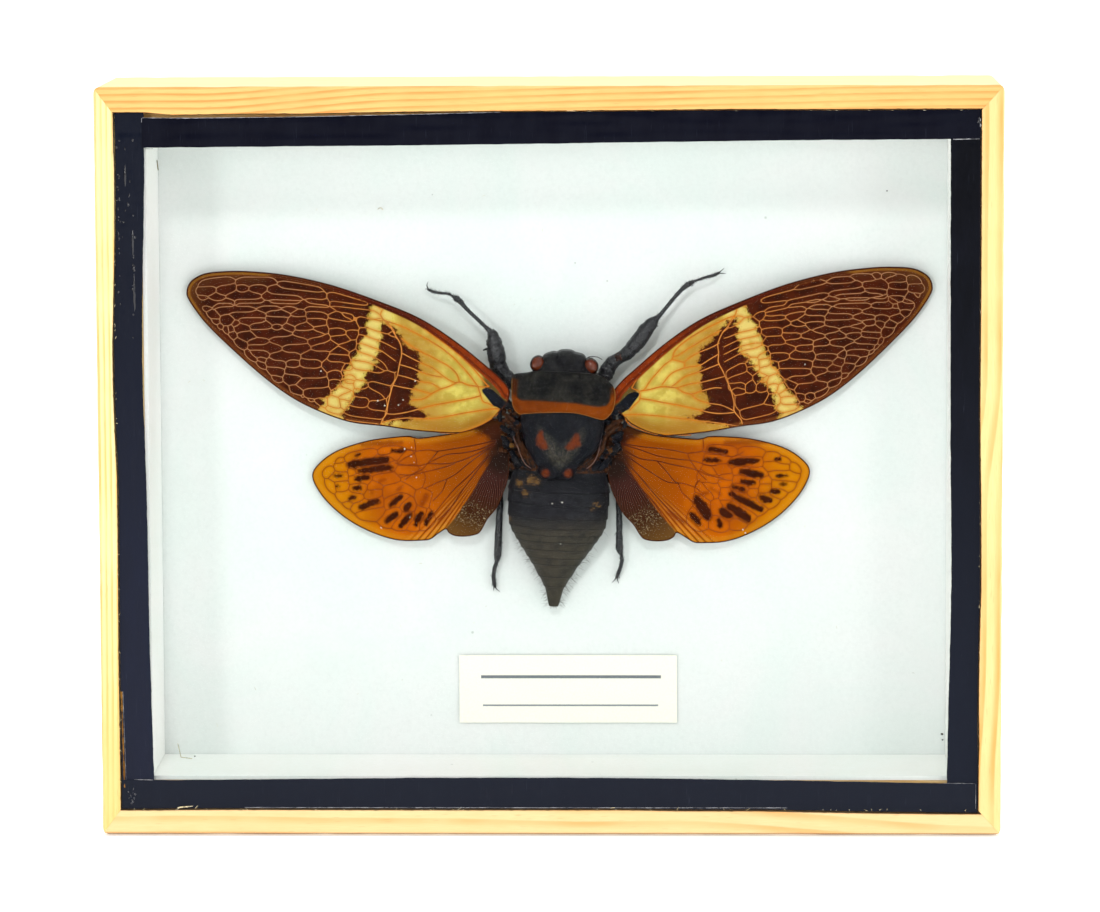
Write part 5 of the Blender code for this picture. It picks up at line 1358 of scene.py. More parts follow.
def make_tapes():
    left, right = LIP["left"] + 0.2 - HALF_WIDTH, HALF_WIDTH - LIP["right"] - 0.2
    bottom, top = LIP["bottom"] + 0.2, FRAME_HEIGHT - LIP["top"] - 0.2
    left_low, left_high = (inner - HALF_WIDTH for inner in TAPE_INNER["left"])
    right_low, right_high = (HALF_WIDTH - inner for inner in TAPE_INNER["right"])
    top_left, top_right = (FRAME_HEIGHT - inner for inner in TAPE_INNER["top"])
    bottom_left, bottom_right = TAPE_INNER["bottom"]
    # The four strips are one tape; their tones, lighter low down, are painted reflection.
    for side, corners, front, relief, skin, steps in (
        ("left", [(left, bottom), (left, top), (left_high, top), (left_low, bottom)],
         UNDER_Y, creased, ("tape_left", "191d2e", "0a0f1d", 0.1), (300, 16)),
        ("right", [(right, bottom), (right, top), (right_high, top), (right_low, bottom)],
         UNDER_Y, half_creased, ("tape_right", "171b26", "05060c", 0.06), (300, 16)),
        ("top", [(left_high, top), (right, top), (right, top_right), (left_high, top_left)],
         OVER_Y, calm, ("tape_level", "080a19", "060714", 0.06), (260, 14)),
        ("bottom", [(left, bottom), (right, bottom), (right, bottom_right), (left, bottom_left)],
         OVER_Y, calm, ("tape_low", "171b26", "171b26", 0.08), (260, 14)),
    ):
        make_tape(side, corners, front, relief, glossy_tape(*skin), steps)
    blisters = Shape()
    rng = random.Random(6)
    for x, z, rx, rz, y, count in BLISTERS:
        for i in range(count):
            middle = (x + rng.gauss(0, 0.45) * rx, y - 0.03, z + rng.gauss(0, 0.55) * rz)
            size = (rng.uniform(0.1, 0.22), rng.uniform(0.07, 0.12), rng.uniform(0.12, 0.3))
            blisters.lump(middle, size, i * 1.3 + z, rough=0.25, rings=8, turn=rng.uniform(-0.5, 0.5))
    for x, z, length in RIDGES:
        ridge = []
        for k in range(13):
            ridge.append((x + 0.12 * wave(k, x, 0), UNDER_Y + 0.06, z - length / 2 + length * k / 12))
        blisters.tube(ridge, [0.05 + 0.2 * math.sin(math.pi * (k + 0.5) / 13) for k in range(13)], 10)
    blisters.piece("tape_blisters", glossy_tape("tape_blisters", "1b1e2b", "0a0c16", 0.6), "black_tape")
    # Pale lines along the tape's cut edges: painted highlights.
    glint_lines, strip = Shape(), Shape()
    for corners, y, width in TAPE_GLINT_LINES:
        edge_line(glint_lines, corners, y, width)
    glint_lines.piece("tape_edge_glints", plain("glint_grey", "b6b8bb", "808187", "f6f6f4"), "black_tape")
    edge_line(strip, [(-72.75, 24.5), (-72.4, 8.0)], UNDER_Y, 0.34)
    strip.piece("lip_strip", plain("strip_brown", "94692f", "7a5224", "b89058"), "pine")


def make_pane():
    """The glass with seamed edges."""
    (x0, y0, z0), (x1, y1, z1) = ([c / MM for c in corner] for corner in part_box("glass"))
    seam = 0.25
    points = []
    for inset, y in ((seam, y0), (0.0, y0 + seam), (0.0, y1 - seam), (seam, y1)):
        left, right, low, high = x0 + inset, x1 - inset, z0 + inset, z1 - inset
        points += [(left, y, low), (right, y, low), (right, y, high), (left, y, high)]
    shape = Shape()
    shape.add(points, ring_faces(4, 4))
    shape.piece("seamed_pane", clear_glass(), "glass", ["glass"], smooth=False, mend=True)


def make_label():
    """The card label, a little bowed."""
    x0, x1, z0, z1 = LABEL
    across, deep = 60, 20
    front, back = [], []
    for i in range(across + 1):
        for j in range(deep + 1):
            u, v = i / across, j / deep
            bow = 0.16 * (2 * v - 1) ** 4 + 0.1 * (2 * u - 1) ** 6 + 0.05 * (1 + wave(u * 3, v * 2, 4))
            ragged = 0.03 * wave(v * 9, i, 0) if i in (0, across) else 0.0
            x, z = x0 + (x1 - x0) * u + ragged, z0 + (z1 - z0) * v
            front.append((x, LABEL_Y - bow, z))
            back.append((x, LABEL_Y - bow + LABEL_THICKNESS, z))
    shape = Shape()
    shape.add(front + back, sheet_faces(across, deep))
    shape.piece("ruled_label", label_paper(), "label_card", ["label"], mend=True)


# ---- The insect ----


def body_at(stations, along):
    """Half width, lowest and highest point of the trunk at a place along it."""
    s = [row[0] for row in stations]
    last = len(s) - 1
    k = next((i for i in range(last) if s[i + 1] >= along), last - 1)
    p0, p1, p2, p3 = (np.array(stations[min(max(k + m, 0), last)][1:], float) for m in (-1, 0, 1, 2))
    span = s[k + 1] - s[k]
    t = (along - s[k]) / span
    before = s[k] - s[max(k - 1, 0)] or span
    after = s[min(k + 2, last)] - s[k + 1] or span
    m1 = 0.5 * ((p1 - p0) / before + (p2 - p1) / span) * span
    m2 = 0.5 * ((p2 - p1) / span + (p3 - p2) / after) * span
    t2, t3 = t * t, t ** 3
    return (2 * t3 - 3 * t2 + 1) * p1 + (t3 - 2 * t2 + t) * m1 + (3 * t2 - 2 * t3) * p2 + (t3 - t2) * m2


def ring_lap(along):
    """How far out the skin stands along the abdomen, where each ring laps over the next, and the way since
    the last ring's edge."""
    for edge, front in zip(SEGMENT_EDGES, SEGMENT_EDGES[1:] + (0.6,)):
        if edge <= along < front:
            return 0.17 * (1 - (along - edge) / (front - edge)) ** 1.6, along - edge
    return 0.0, FAR_OFF


def loft(shape, stations, start, end, step, lapped=False, around=96):
    """A part of the body as rings of points along it."""
    places = list(np.arange(start, end, step)) + [end]
    if lapped:
        places += [edge + past for edge in SEGMENT_EDGES for past in (-0.04, 0.01)]
    places = sorted(p for p in places if start <= p <= end)
    points, gaps = [], []
    for along in places:
        half, low, high = body_at(stations, along)
        out, gap = ring_lap(along) if lapped else (0.0, FAR_OFF)
        middle, tall = (low + high) / 2, (high - low) / 2
        gaps += [gap] * around
        for k in range(around):
            turn = 2 * math.pi * k / around
            cos, sin = (math.copysign(abs(c) ** (2 / ROUNDNESS), c) for c in (math.cos(turn), math.sin(turn)))
            side, rise = (half + out - 0.1) * cos, (tall + out - 0.1) * sin
            dent = 0.06 * wave(side * 0.5, along * 0.9, 2.0)
            if lapped and sin > 0:
                dent -= 0.048 * math.exp(-(side / 0.7) ** 2)
            points.append(place(*body_point(side, along), max(0.05, middle + rise + dent)))
    across, _, up = np.array(points).T
    marks = np.full(len(points), -FAR_OFF)
    for x, z, radius in BLOTS:
        marks = np.maximum(marks, radius - np.hypot(across - x, up - z))
    shape.add(points, ring_faces(len(places), around), ring=gaps, marks=marks)


def plate(shape, form, relief, fields):
    """A domed plate of the back. The relief adds height at places sideways and along."""
    outline = curve(form["outline"], 6, closed=True)
    points, faces, edges = mesh_in(outline, PLATE_STEP)
    rim = to_lines(points, outline)
    inset = np.minimum(1.0, rim / form["rim"])
    height = form["crown"] - form["fall"] * (points[:, 0] / outline[:, 0].max()) ** 2
    height += form["rise"] * np.sqrt(1 - (1 - inset) ** 2)
    height -= form["slope"] * np.maximum(0, points[:, 1] - form["brow"])
    height += relief(points, rim)
    upper = [place(*body_point(a, s), h) for (a, s), h in zip(points, height)]
    lower = [place(*body_point(a, s), form["bottom"]) for a, s in points]
    held = {name: np.tile(values, 2) for name, values in fields(points, rim).items()}
    shape.add(upper + lower, slab_faces(faces, edges, len(points)), **held)


def rumple(points, scale, depth, seed=0.0):
    places = [Vector((a * scale, s * scale, seed)) for a, s in points]
    return np.array([depth * noise.fractal(place, 0.7, 2.0, 4) for place in places])


def dome(points, a, s, ra, rs, height):
    return height * np.exp(-(((points[:, 0] - a) / ra) ** 2 + ((points[:, 1] - s) / rs) ** 2))


def groove(points, line, width, depth):
    return -depth * np.exp(-(to_lines(points, line, closed=False) / width) ** 2)


def twin_grooves(points, *rows):
    """Grooves at both sides. Each row is a line at the right side, a width and a depth."""
    cut = np.zeros(len(points))
    for line, width, depth in rows:
        for sign in (-1, 1):
            cut += groove(points, [(sign * a, s) for a, s in line], width, depth)
    return cut


def head_relief(points, rim):
    relief = rumple(points, 0.9, 0.1)
    for mound in HEAD_MOUNDS:
        relief += dome(points, *mound)
    relief += groove(points, [(-1.2, 22.8), (-1.3, 21.2), (0.0, 20.4), (1.3, 21.2), (1.3, 22.8)], 0.22, 0.3)
    relief += groove(points, [(0, 20.4), (0, 19.2)], 0.15, 0.15)
    return relief + twin_grooves(points, ([(3.675, 21.4), (3.325, 20.2), (4.2, 19.2)], 0.25, 0.3))


def neck_relief(points, rim):
    disc = depth_in(points, DISC)
    relief = -0.16 * np.clip(1 - np.abs(disc + 0.1) / 0.25, 0, 1)
    relief += 0.12 * np.clip((0.35 - rim) / 0.35, 0, 1) * (disc < 0)
    relief += twin_grooves(
        points,
        ([(1.2, 18.9), (2.6, 17.2), (5.6, 15.0)], 0.6, 0.3),
        ([(5.4, 18.9), (5.2, 17.4), (6.6, 15.6)], 0.55, 0.4),
    )
    for sign in (-1, 1):
        relief += dome(points, sign * 6.7, 17.3, 1.3, 1.2, 0.35)
        relief += dome(points, sign * 3.9, 17.4, 1.0, 1.0, 0.2)
    relief += groove(points, [(0, 19.3), (0, 15.0)], 0.16, 0.16)
    return relief + rumple(points, 0.9, 0.4, 3.0) * np.clip(disc, 0, 1) + rumple(points, 0.5, 0.04, 8.0)


def back_relief(points, rim):
    relief = rumple(points, 0.6, 0.16, 5.0) + dome(points, 0.0, 3.2, 1.1, 1.5, 0.5)
    relief += twin_grooves(
        points,
        ([(0.7, 12.0), (1.6, 9.0), (1.2, 6.6)], 0.2, 0.1),
        ([(4.6, 12.0), (5.2, 9.0), (3.4, 5.4)], 0.25, 0.14),
        ([(0.4, 4.8), (1.7, 3.6), (3.4, 3.2)], 0.3, 0.4),
    )
    for knob in KNOBS:
        relief += dome(points, *body_side(*knob), 0.8, 0.7, 0.45)
    return relief


def back_fields(points, rim):
    a, s = points.T
    marks = np.full(len(points), -FAR_OFF)
    for form in TRIANGLES:
        marks = np.maximum(marks, depth_in(points, [body_side(*corner) for corner in form]))
    for knob in KNOBS:
        side, along = body_side(*knob)
        marks = np.maximum(marks, 0.68 - np.hypot(a - side, s - along))
    dust = 1.1 - np.abs(np.abs(a) - 0.6 * (s - 3.8)) - 0.6 * np.maximum(0, np.abs(s - 6.0) - 1.8)
    return {"spots": marks, "dust": dust}


def make_body():
    tail = Shape("ring", "marks")
    loft(tail, TRUNK, -22.0, 2.0, 0.16, lapped=True, around=120)
    skin = cuticle("tail_skin", "16161b", "202024", "4b4842", rings, 0.1, (0.28, 0.55), 0.07)
    tail.piece("abdomen", skin, *BODY, mend=True)
    sides = Shape("ring", "marks")
    loft(sides, TRUNK, 2.0, 22.0, 0.5)
    loft(sides, FLANKS, 1.0, 13.6, 0.5)
    skin = cuticle("side_skin", "17181d", "2a1c17", "4b3a2a", mottle, 0.08)
    sides.piece("thorax_sides", skin, *BODY, mend=True)
    head = Shape("rim")
    plate(head, SHIELDS["head"], head_relief, lambda points, rim: {"rim": rim})
    head.lump(place(*body_point(-2.3, 21.6), 6.6), (1.1, 1.2, 0.75), 4.0, rough=0.2)
    head.lump(place(*body_point(2.4, 21.6), 6.6), (1.1, 1.2, 0.75), 5.0, rough=0.2)
    head.lump(place(*body_point(0.0, 21.9), 6.3), (1.5, 1.5, 0.8), 6.0)
    skin = cuticle("head_skin", "131216", "242323", "57524a", None, 0.13, (0.22, 0.45), 0.09)
    head.piece("head_plate", skin, *BODY, mend=True)
    neck = Shape("rim", "band")
    plate(neck, SHIELDS["pronotum"], neck_relief,
          lambda points, rim: {"rim": rim, "band": -depth_in(points, DISC)})
    skin = cuticle("collar_skin", "161617", "282623", "6a6453", collar, 0.12, (0.34, 0.58), 0.04)
    neck.piece("collar_plate", skin, *BODY, mend=True)
    back = Shape("spots", "dust")
    plate(back, SHIELDS["mesonotum"], back_relief, back_fields)
    skin = cuticle("back_skin", "0f1117", "18181d", "3a383d", back_marks, 0.1, (0.24, 0.46), 0.06)
    back.piece("back_plate", skin, *BODY, mend=True)


def make_eyes():
    shape = Shape()
    for side, along in EYES:
        centre = place(*body_point(side, along), EYE_HEIGHT)
        shape.lump(centre, (1.3, 1.26, 1.5), side, rough=0.02, rings=20, turn=math.copysign(0.35, -side))
    shape.piece("eyes", eye_skin(), *BODY)


def make_hinges():
    """The knotted hinge plates between the thorax and the wings, and the seams of the back."""
    shapes = {"black": Shape(), "brown": Shape(), "tan": Shape()}
    rng = random.Random(11)
    for sign in (-1, 1):
        for kind, width, route in FOLDS:
            line = []
            for i, (a, s) in enumerate(route):
                arch = 0.4 * math.sin(math.pi * i / (len(route) - 1))
                line.append(place(*body_point(sign * a, s), 7.25 - 0.08 * a + 0.5 * (a < 8) + arch))
            path = curve(line, 8)
            radii = []
            for i in range(len(path)):
                swell = 0.35 + 0.65 * math.sin(math.pi * (0.1 + 0.8 * i / (len(path) - 1)))
                radii.append(width * swell * (1 + 0.25 * wave(i * 0.5, width * 9, sign)))
            shapes[kind].tube(path, radii, 12, flat=0.85)
        for i in range(95):
            along = rng.uniform(2.2, 12.8)
            side = sign * rng.uniform(6.6 - max(0, 6 - along) * 0.5, 10.2 - max(0, 5 - along) * 0.6)
            size = rng.uniform(0.2, 0.5)
            kind = rng.choices(("black", "brown", "tan"), (6, 5, 0.25))[0]
            size *= 0.55 if kind == "tan" else 1.0
            height = 6.9 + 0.5 * (abs(side) < 8) - 0.06 * abs(side) + rng.uniform(-0.2, 0.3)
            centre = place(*body_point(side, along), height)
            radii = (size * rng.uniform(0.8, 1.8), size * 0.8, size)
            shapes[kind].lump(centre, radii, i * 1.7 + sign, rough=0.5, rings=7, turn=rng.uniform(0, 3))
    for kind, *look in (
        ("black", "0f1118", "1c1a1c", "35323a", None, 0.06, (0.18, 0.45)),
        ("brown", "28160e", "3a2012", "5a3a1e", mottle, 0.08, (0.3, 0.55)),
        ("tan", "6b4a24", "54341a", "8a6a40", None, 0.06, (0.3, 0.55)),
    ):
        shapes[kind].piece("hinge_folds_" + kind, cuticle("hinge_" + kind, *look), *BODY)
    seams = Shape()
    for line in SIDE_LINES:
        run = curve(line, 6)
        seams.tube([place(x, z, 8.6 - 0.04 * abs(k - len(run) / 2)) for k, (x, z) in enumerate(run)], 0.07)
    seams.piece("back_seams", plain("seam_skin", "6f5759", "7a5a4e", "a99a92", 0.02), *BODY)


def fore_height(out):
    return 1.3 + 6.1 * np.maximum(0.0, 1 - np.asarray(out) / 58.5) ** 1.5


def hind_height(out, up):
    return 1.2 + 4.6 * np.maximum(0.0, 1 - np.hypot(out, 0.8 * np.asarray(up)) / 34.0) ** 1.4


def wing_place(hinge, points, height):
    """Wing coordinates to places in the box."""
    across, level, side, turn, size = hinge
    cos, sin = math.cos(turn), math.sin(turn)
    x = across + side * (points[:, 0] * cos - points[:, 1] * sin) * size
    z = level + (points[:, 0] * sin + points[:, 1] * cos) * size
    return np.column_stack([x, BACKING_Y - height, z])


def wing_back(hinge, x, z):
    """Across and up in the box to wing coordinates."""
    across, level, side, turn, size = hinge
    cos, sin = math.cos(turn), math.sin(turn)
    dx, dz = side * (x - across) / size, (z - level) / size
    return dx * cos + dz * sin, -dx * sin + dz * cos


def network(cells, fences, region, outline):
    """The borders between cells, as smooth lines. Fences are lines whose own borders aren't drawn."""
    seeds, owner = [], []

    def sow(line, mark):
        line = [np.array(p, float) for p in line]
        for a, b in zip(line, line[1:]):
            count = max(1, int(np.hypot(*(b - a)) / SEED_STEP))
            for i in range(count + 1):
                nudge = 1e-3 * np.array((math.sin(len(seeds)), math.cos(3 * len(seeds))))
                seeds.append(a + (b - a) * i / count + nudge)
                owner.append(mark)

    for k, cell in enumerate(cells):
        points = list(zip(cell[::2], cell[1::2]))
        if len(points) == 2 and math.dist(*points) < 0.4:
            points = [((points[0][0] + points[1][0]) / 2, (points[0][1] + points[1][1]) / 2)] * 2
        sow(points, k)
    for k, fence in enumerate(fences):
        sow(fence, -1 - k)
    verts, _, faces, origin, *_ = delaunay_2d_cdt([Vector(s) for s in seeds], [], [], 0, 1e-9)
    mark = [owner[o[0]] if o else owner[i] for i, o in enumerate(origin)]
    centres, sides = [], {}
    for f, face in enumerate(faces):
        (ax, ay), (bx, by), (cx, cy) = (verts[i] for i in face)
        aa, bb, cc = ax * ax + ay * ay, bx * bx + by * by, cx * cx + cy * cy
        d = 2 * (ax * (by - cy) + bx * (cy - ay) + cx * (ay - by))
        d = d if abs(d) > 1e-9 else 1e-9
        centres.append(((aa * (by - cy) + bb * (cy - ay) + cc * (ay - by)) / d,
                        (aa * (cx - bx) + bb * (ax - cx) + cc * (bx - ax)) / d))
        for i in range(3):
            sides.setdefault(tuple(sorted((face[i], face[(i + 1) % 3]))), []).append(f)
    keep = within(centres, region) & within(centres, outline)
    links = {}
    for (a, b), pair in sides.items():
        if len(pair) == 2 and mark[a] != mark[b] and max(mark[a], mark[b]) >= 0:
            f, g = pair
            if keep[f] and keep[g]:
                links.setdefault(f, set()).add(g)
                links.setdefault(g, set()).add(f)
    spot = {f: np.array(centres[f]) for f in links}
    for _ in range(14):
        fresh = {}
        for f, near in links.items():
            mean = sum(spot[g] for g in near) / len(near)
            ease = {1: 0.0, 2: 0.5}.get(len(near), 0.12)
            fresh[f] = spot[f] * (1 - ease) + mean * ease
        spot = fresh
    lines, used = [], set()
    for f in links:
        if len(links[f]) == 2:
            continue
        for g in links[f]:
            if (f, g) in used:
                continue
            run = [f, g]
            used.update(((f, g), (g, f)))
            while len(links[run[-1]]) == 2:
                ahead = next(h for h in links[run[-1]] if h != run[-2])
                used.update(((run[-1], ahead), (ahead, run[-1])))
                run.append(ahead)
                if ahead == f:
                    break
            lines.append(thin(np.array([spot[h] for h in run])))
    return lines


def thin(line, least=0.22):
    """Drops points that crowd each other."""
    kept = [line[0]]
    for p in line[1:-1]:
        if np.hypot(*(p - kept[-1])) > least:
            kept.append(p)
    return np.array(kept + [line[-1]])


def ripple(points):
    """Height of a wing's gentle waves."""
    return np.array([0.05 * wave(u * 0.35, v * 0.5, 6.0) for u, v in points])


def make_wing(kind, side, outline, hinge, height, spacing, veins, mesh_lines, fields, skins, thick):
    """A veined wing: the membrane, sunk a little between the veins, and the veins as raised tubes."""
    outline = curve(outline, 8, closed=True)
    points, faces, edges = mesh_in(outline, spacing)
    marks = []
    for line, _ in veins + mesh_lines:
        for a, b in zip(line, line[1:]):
            marks += [a + (b - a) * t for t in (0, 0.25, 0.5, 0.75)]
    tree = kdtree.KDTree(len(marks))
    for i, (u, v) in enumerate(marks):
        tree.insert((u, v, 0), i)
    tree.balance()
    near = np.array([tree.find((u, v, 0))[2] for u, v in points])
    rim = to_lines(points, outline)
    held = {**fields(points), "veins": near, "rim": rim}
    middle = height(points) - 0.07 * np.clip(near / 0.8, 0, 1) * np.clip(rim / 0.5, 0, 1) + ripple(points)
    half = thick(held) / 2
    skin = np.vstack([wing_place(hinge, points, middle + half), wing_place(hinge, points, middle - half)])
    shape = Shape(*held)
    shape.add(skin, slab_faces(faces, edges, len(points)), **{key: np.tile(held[key], 2) for key in held})
    node = "%s_%s" % (kind, side)
    shape.piece(node + "_membrane", skins[0], kind + "_membrane", [node], mend=True)
    tubes = Shape("deep", "out", "rimmed")
    for line, radii in veins + mesh_lines:
        spots = wing_place(hinge, line, height(line) + ripple(line) + 0.05)
        deep, out = np.repeat(fields(line)["deep"], 6), np.repeat(line[:, 0], 6)
        tubes.tube(spots, radii, deep=deep, out=out, rimmed=float(line is veins[-1][0]))
    tubes.piece(node + "_veins", skins[1], kind + "_membrane", [node])


def fore_fields(side):
    """The numbers that a fore wing's colours go by, for points in wing coordinates."""
    patch, far = PATCH[side], FAR[side] + [(62, -6), (62, 26), (22.0, 26)]
    front = curve(FOREWING, 4, closed=True)
    front = np.array([p for p in front if p[1] > 0.25 * p[0] and p[1] > 1.2 and (p[0] < 45 or p[1] > 19.5)])
    front = front[np.argsort(front[:, 0])]

    def fields(points):
        out = points[:, 0]
        shift = np.array([0.75 * wave(u * 0.35, v * 1.15, 3.0) for u, v in points])
        far_depth, patch_depth = depth_in(points, far) + shift, depth_in(points, patch) + shift
        deep = np.maximum(far_depth, patch_depth)
        width = np.interp(out, [2, 8, 16, 22, 30, 46], [1.3, 1.15, 0.88, 0.7, 0.56, 0.42])
        return {
            "far": far_depth, "patch": patch_depth, "costa": to_lines(points, front, closed=False) / width,
            "tip": depth_in(points, OLIVE_TIP), "out": out,
            "inner": np.where(out > 19.5, 1.5 - np.abs(-deep - 1.2), -1.0),
            "cell": depth_in(points, BASAL_CELL), "deep": deep,
        }

    return fields


def bars(hinge, points, rows):
    """How far inside the nearest of some ragged bars each point is."""
    best = np.full(len(points), -FAR_OFF)
    for x, z, length, width, tip in rows:
        u, v = wing_back(hinge, x, z)
        cos, sin = math.cos(math.radians(-tip)), math.sin(math.radians(-tip))
        reach = max(0.01, (length - width * 0.7) / 2)
        run = (points[:, 0] - u) * cos + (points[:, 1] - v) * sin
        half = width / 2 * (1.06 - 0.22 * np.clip(np.abs(run) / reach, 0, 1) ** 2)
        line = [(u - reach * cos, v - reach * sin), (u + reach * cos, v + reach * sin)]
        best = np.maximum(best, half - to_lines(points, line, closed=False))
    return best + np.array([0.16 * wave(u * 0.8, v * 0.8, 1.0) for u, v in points])


def hind_fields(side):
    """The same numbers for a hind wing."""

    def fields(points):
        hinge = HINDWING_HINGE[side]
        reach = np.hypot(points[:, 0], points[:, 1])
        return {
            "spots": bars(hinge, points, SPOTS[side]), "blushes": bars(hinge, points, BLUSHES[side]),
            "lobe": depth_in(points, LOBE), "root": depth_in(points, ROOT),
            "reach": reach, "deep": 12.0 - reach,
            "fold": np.degrees(np.arctan2(points[:, 1] - 1.5, points[:, 0] - 0.5)),
        }

    return fields


def inset_line(outline, gap):
    """An outline moved inward."""
    points = curve(outline, 4, closed=True)
    ahead = np.roll(points, -1, axis=0) - np.roll(points, 1, axis=0)
    normal = np.column_stack([-ahead[:, 1], ahead[:, 0]]) / np.hypot(*ahead.T)[:, None]
    area = np.sum(points[:, 0] * np.roll(points[:, 1], -1) - np.roll(points[:, 0], -1) * points[:, 1])
    return points + normal * gap * np.sign(area)


def edge_vein(outline, gap, radius):
    margin = inset_line(outline, gap)
    return np.vstack([margin, margin[:1]]), radius


def fore_thickness(held):
    """The front edge is a thick ridge."""
    return 0.14 + 0.4 * np.clip((1.35 - held["costa"]) / 0.3, 0, 1) * np.clip(held["rim"] / 0.2, 0, 1)


def make_forewing(side, skins):
    veins = []
    for line in FOREWING_VEINS[side]:
        run = curve(line, 4)
        size = 0.1 if len(line) > 7 else 0.085
        veins.append((run, [size * (0.85 + 0.3 * math.exp(-q[0] / 12)) for q in run]))
    veins.append(edge_vein(FOREWING, 0.08, 0.11))
    nodal = max(FOREWING_VEINS[side], key=lambda line: (abs(line[0][0] - line[-1][0]) < 2.5) * len(line))
    strip = [q for q in inset_line(FOREWING, 0.42) if q[0] > 20.0]
    fences = [
        [(q[0] - 0.75, q[1]) for q in curve(nodal, 3)],
        [q for q in strip if q[1] > 0.38 * q[0] - 4.6],
        [q for q in strip if q[1] <= 0.38 * q[0] - 4.6],
    ]
    region = [(18.6, -7), (60, -7), (60, 24), (18.6, 24)]
    borders = network(FOREWING_CELLS[side], fences, region, inset_line(FOREWING, 0.2))
    make_wing("forewing", side, FOREWING, FOREWING_HINGE[side], lambda q: fore_height(q[:, 0]), 0.36, veins,
              [(run, 0.062) for run in borders], fore_fields(side), skins, fore_thickness)


def make_hindwing(side, skins):
    veins = []
    for line in HINDWING_VEINS[side]:
        run = curve(line, 4)
        veins.append((run, [0.07 + 0.06 * math.exp(-math.hypot(*q) / 9) for q in run]))
    veins.append(edge_vein(HINDWING, 0.07, 0.1))
    fence = [q for q in inset_line(HINDWING, 0.45) if q[0] > 11.5]
    start = next(i for i in range(len(fence)) if math.dist(fence[i], fence[i - 1]) > 2.0)
    core = [(14.0, 0.0), (12.6, -3.0), (12.2, -6.0), (11.2, -9.6)]
    region = [(12.3, 3.5), (40, 3.5), (40, -18), (9.0, -18)]
    fences = [fence[start:] + fence[:start], core]
    borders = network(HINDWING_CELLS[side], fences, region, inset_line(HINDWING, 0.2))
    make_wing("hindwing", side, HINDWING, HINDWING_HINGE[side], lambda q: hind_height(q[:, 0], q[:, 1]), 0.3,
              veins, [(run, 0.06) for run in borders], hind_fields(side), skins, lambda held: 0.13)


def make_wings():
    fore = membrane_fore("fore_membrane"), vein_colour("fore_veins", "c06c1a", "d0863c", "b08058")
    hind = membrane_hind("hind_membrane"), vein_colour("hind_veins", "682a08", "42190b", "42190b")
    for side in ("left", "right"):
        make_forewing(side, fore)
        make_hindwing(side, hind)


def make_legs():
    skin = cuticle("leg_skin", "17171b", "201e22", "4a484a", None, 0.1, (0.12, 0.32), 0.42)
    rust = cuticle("leg_rust", "4a2416", "2a2320", "6a4a38", None, 0.05, (0.32, 0.55))
    legs = dict(LEGS)
    for name, sign in (("left", -1), ("right", 1)):
        legs["midleg_" + name] = [(*body_point(sign * a, s), h, w) for a, s, h, w in MIDLEG]
    for name, stations in legs.items():
        rng = random.Random(name)
        stations = [(x, z, h, w * 1.08) for x, z, h, w in stations]
        shape = Shape()
        run = curve(stations, 7)
        line = [place(x, z, h) for x, z, h, w in run]
        radii = [row[3] / 2 * (1 + 0.2 * wave(i * 0.45, len(name), 2.0)) for i, row in enumerate(run)]
        shape.tube(line, radii, 16, flat=0.82)
        for x, z, h, w in stations[1:-1]:
            shape.lump(place(x, z, h), (w * 0.5, w * 0.42, w * 0.5), x, rough=0.25, rings=7)
        for root, bend, tip, width in CLAWS.get(name, ()):
            path = curve([place(*root), place(*bend), place(*tip)], 4)
            shape.tube(path, [width / 2 * (1 - 0.8 * i / (len(path) - 1)) for i in range(len(path))], 8)
        for i in [i for i in range(6, len(run) - 3) for _ in range(3)]:
            turn = rng.uniform(0, 2 * math.pi)
            ahead = (Vector(line[i + 1]) - Vector(line[i])).normalized()
            out = ahead.cross(Vector((math.cos(turn), math.sin(turn), 0.3))).normalized()
            root = Vector(line[i]) + out * run[i][3] * 0.42
            tip = root + out * rng.uniform(0.12, 0.38) + ahead * rng.uniform(0.15, 0.4)
            if tip.y < BACKING_Y - 0.05:
                shape.tube([root, (root + tip) / 2 + out * 0.03, tip], [0.03, 0.022, 0.008], 4)
        shape.piece(name + "_skin", skin, "leg_cuticle", [name])
    knee = Shape()
    knee.lump(place(11.5, 79.25, 3.9), (1.05, 0.85, 0.8), 2.0, rough=0.35, turn=-0.6)
    knee.lump(place(-8.4, 76.4, 3.4), (0.9, 0.8, 0.8), 3.0, rough=0.35)
    knee.piece("leg_joints", rust, "leg_cuticle", ["foreleg_right", "foreleg_left"])
    feeler = Shape()
    run = curve(ANTENNA, 8)
    feeler.tube([place(x, z, h) for x, z, h, w in run], [w / 2 for *_, w in run], 8)
    feeler.lump(place(5.75, 79.25, 7.5), (0.3, 0.3, 0.26), 1.0, rough=0.1, rings=7)
    feeler.piece("feeler", skin, "leg_cuticle", ["antenna_right"])


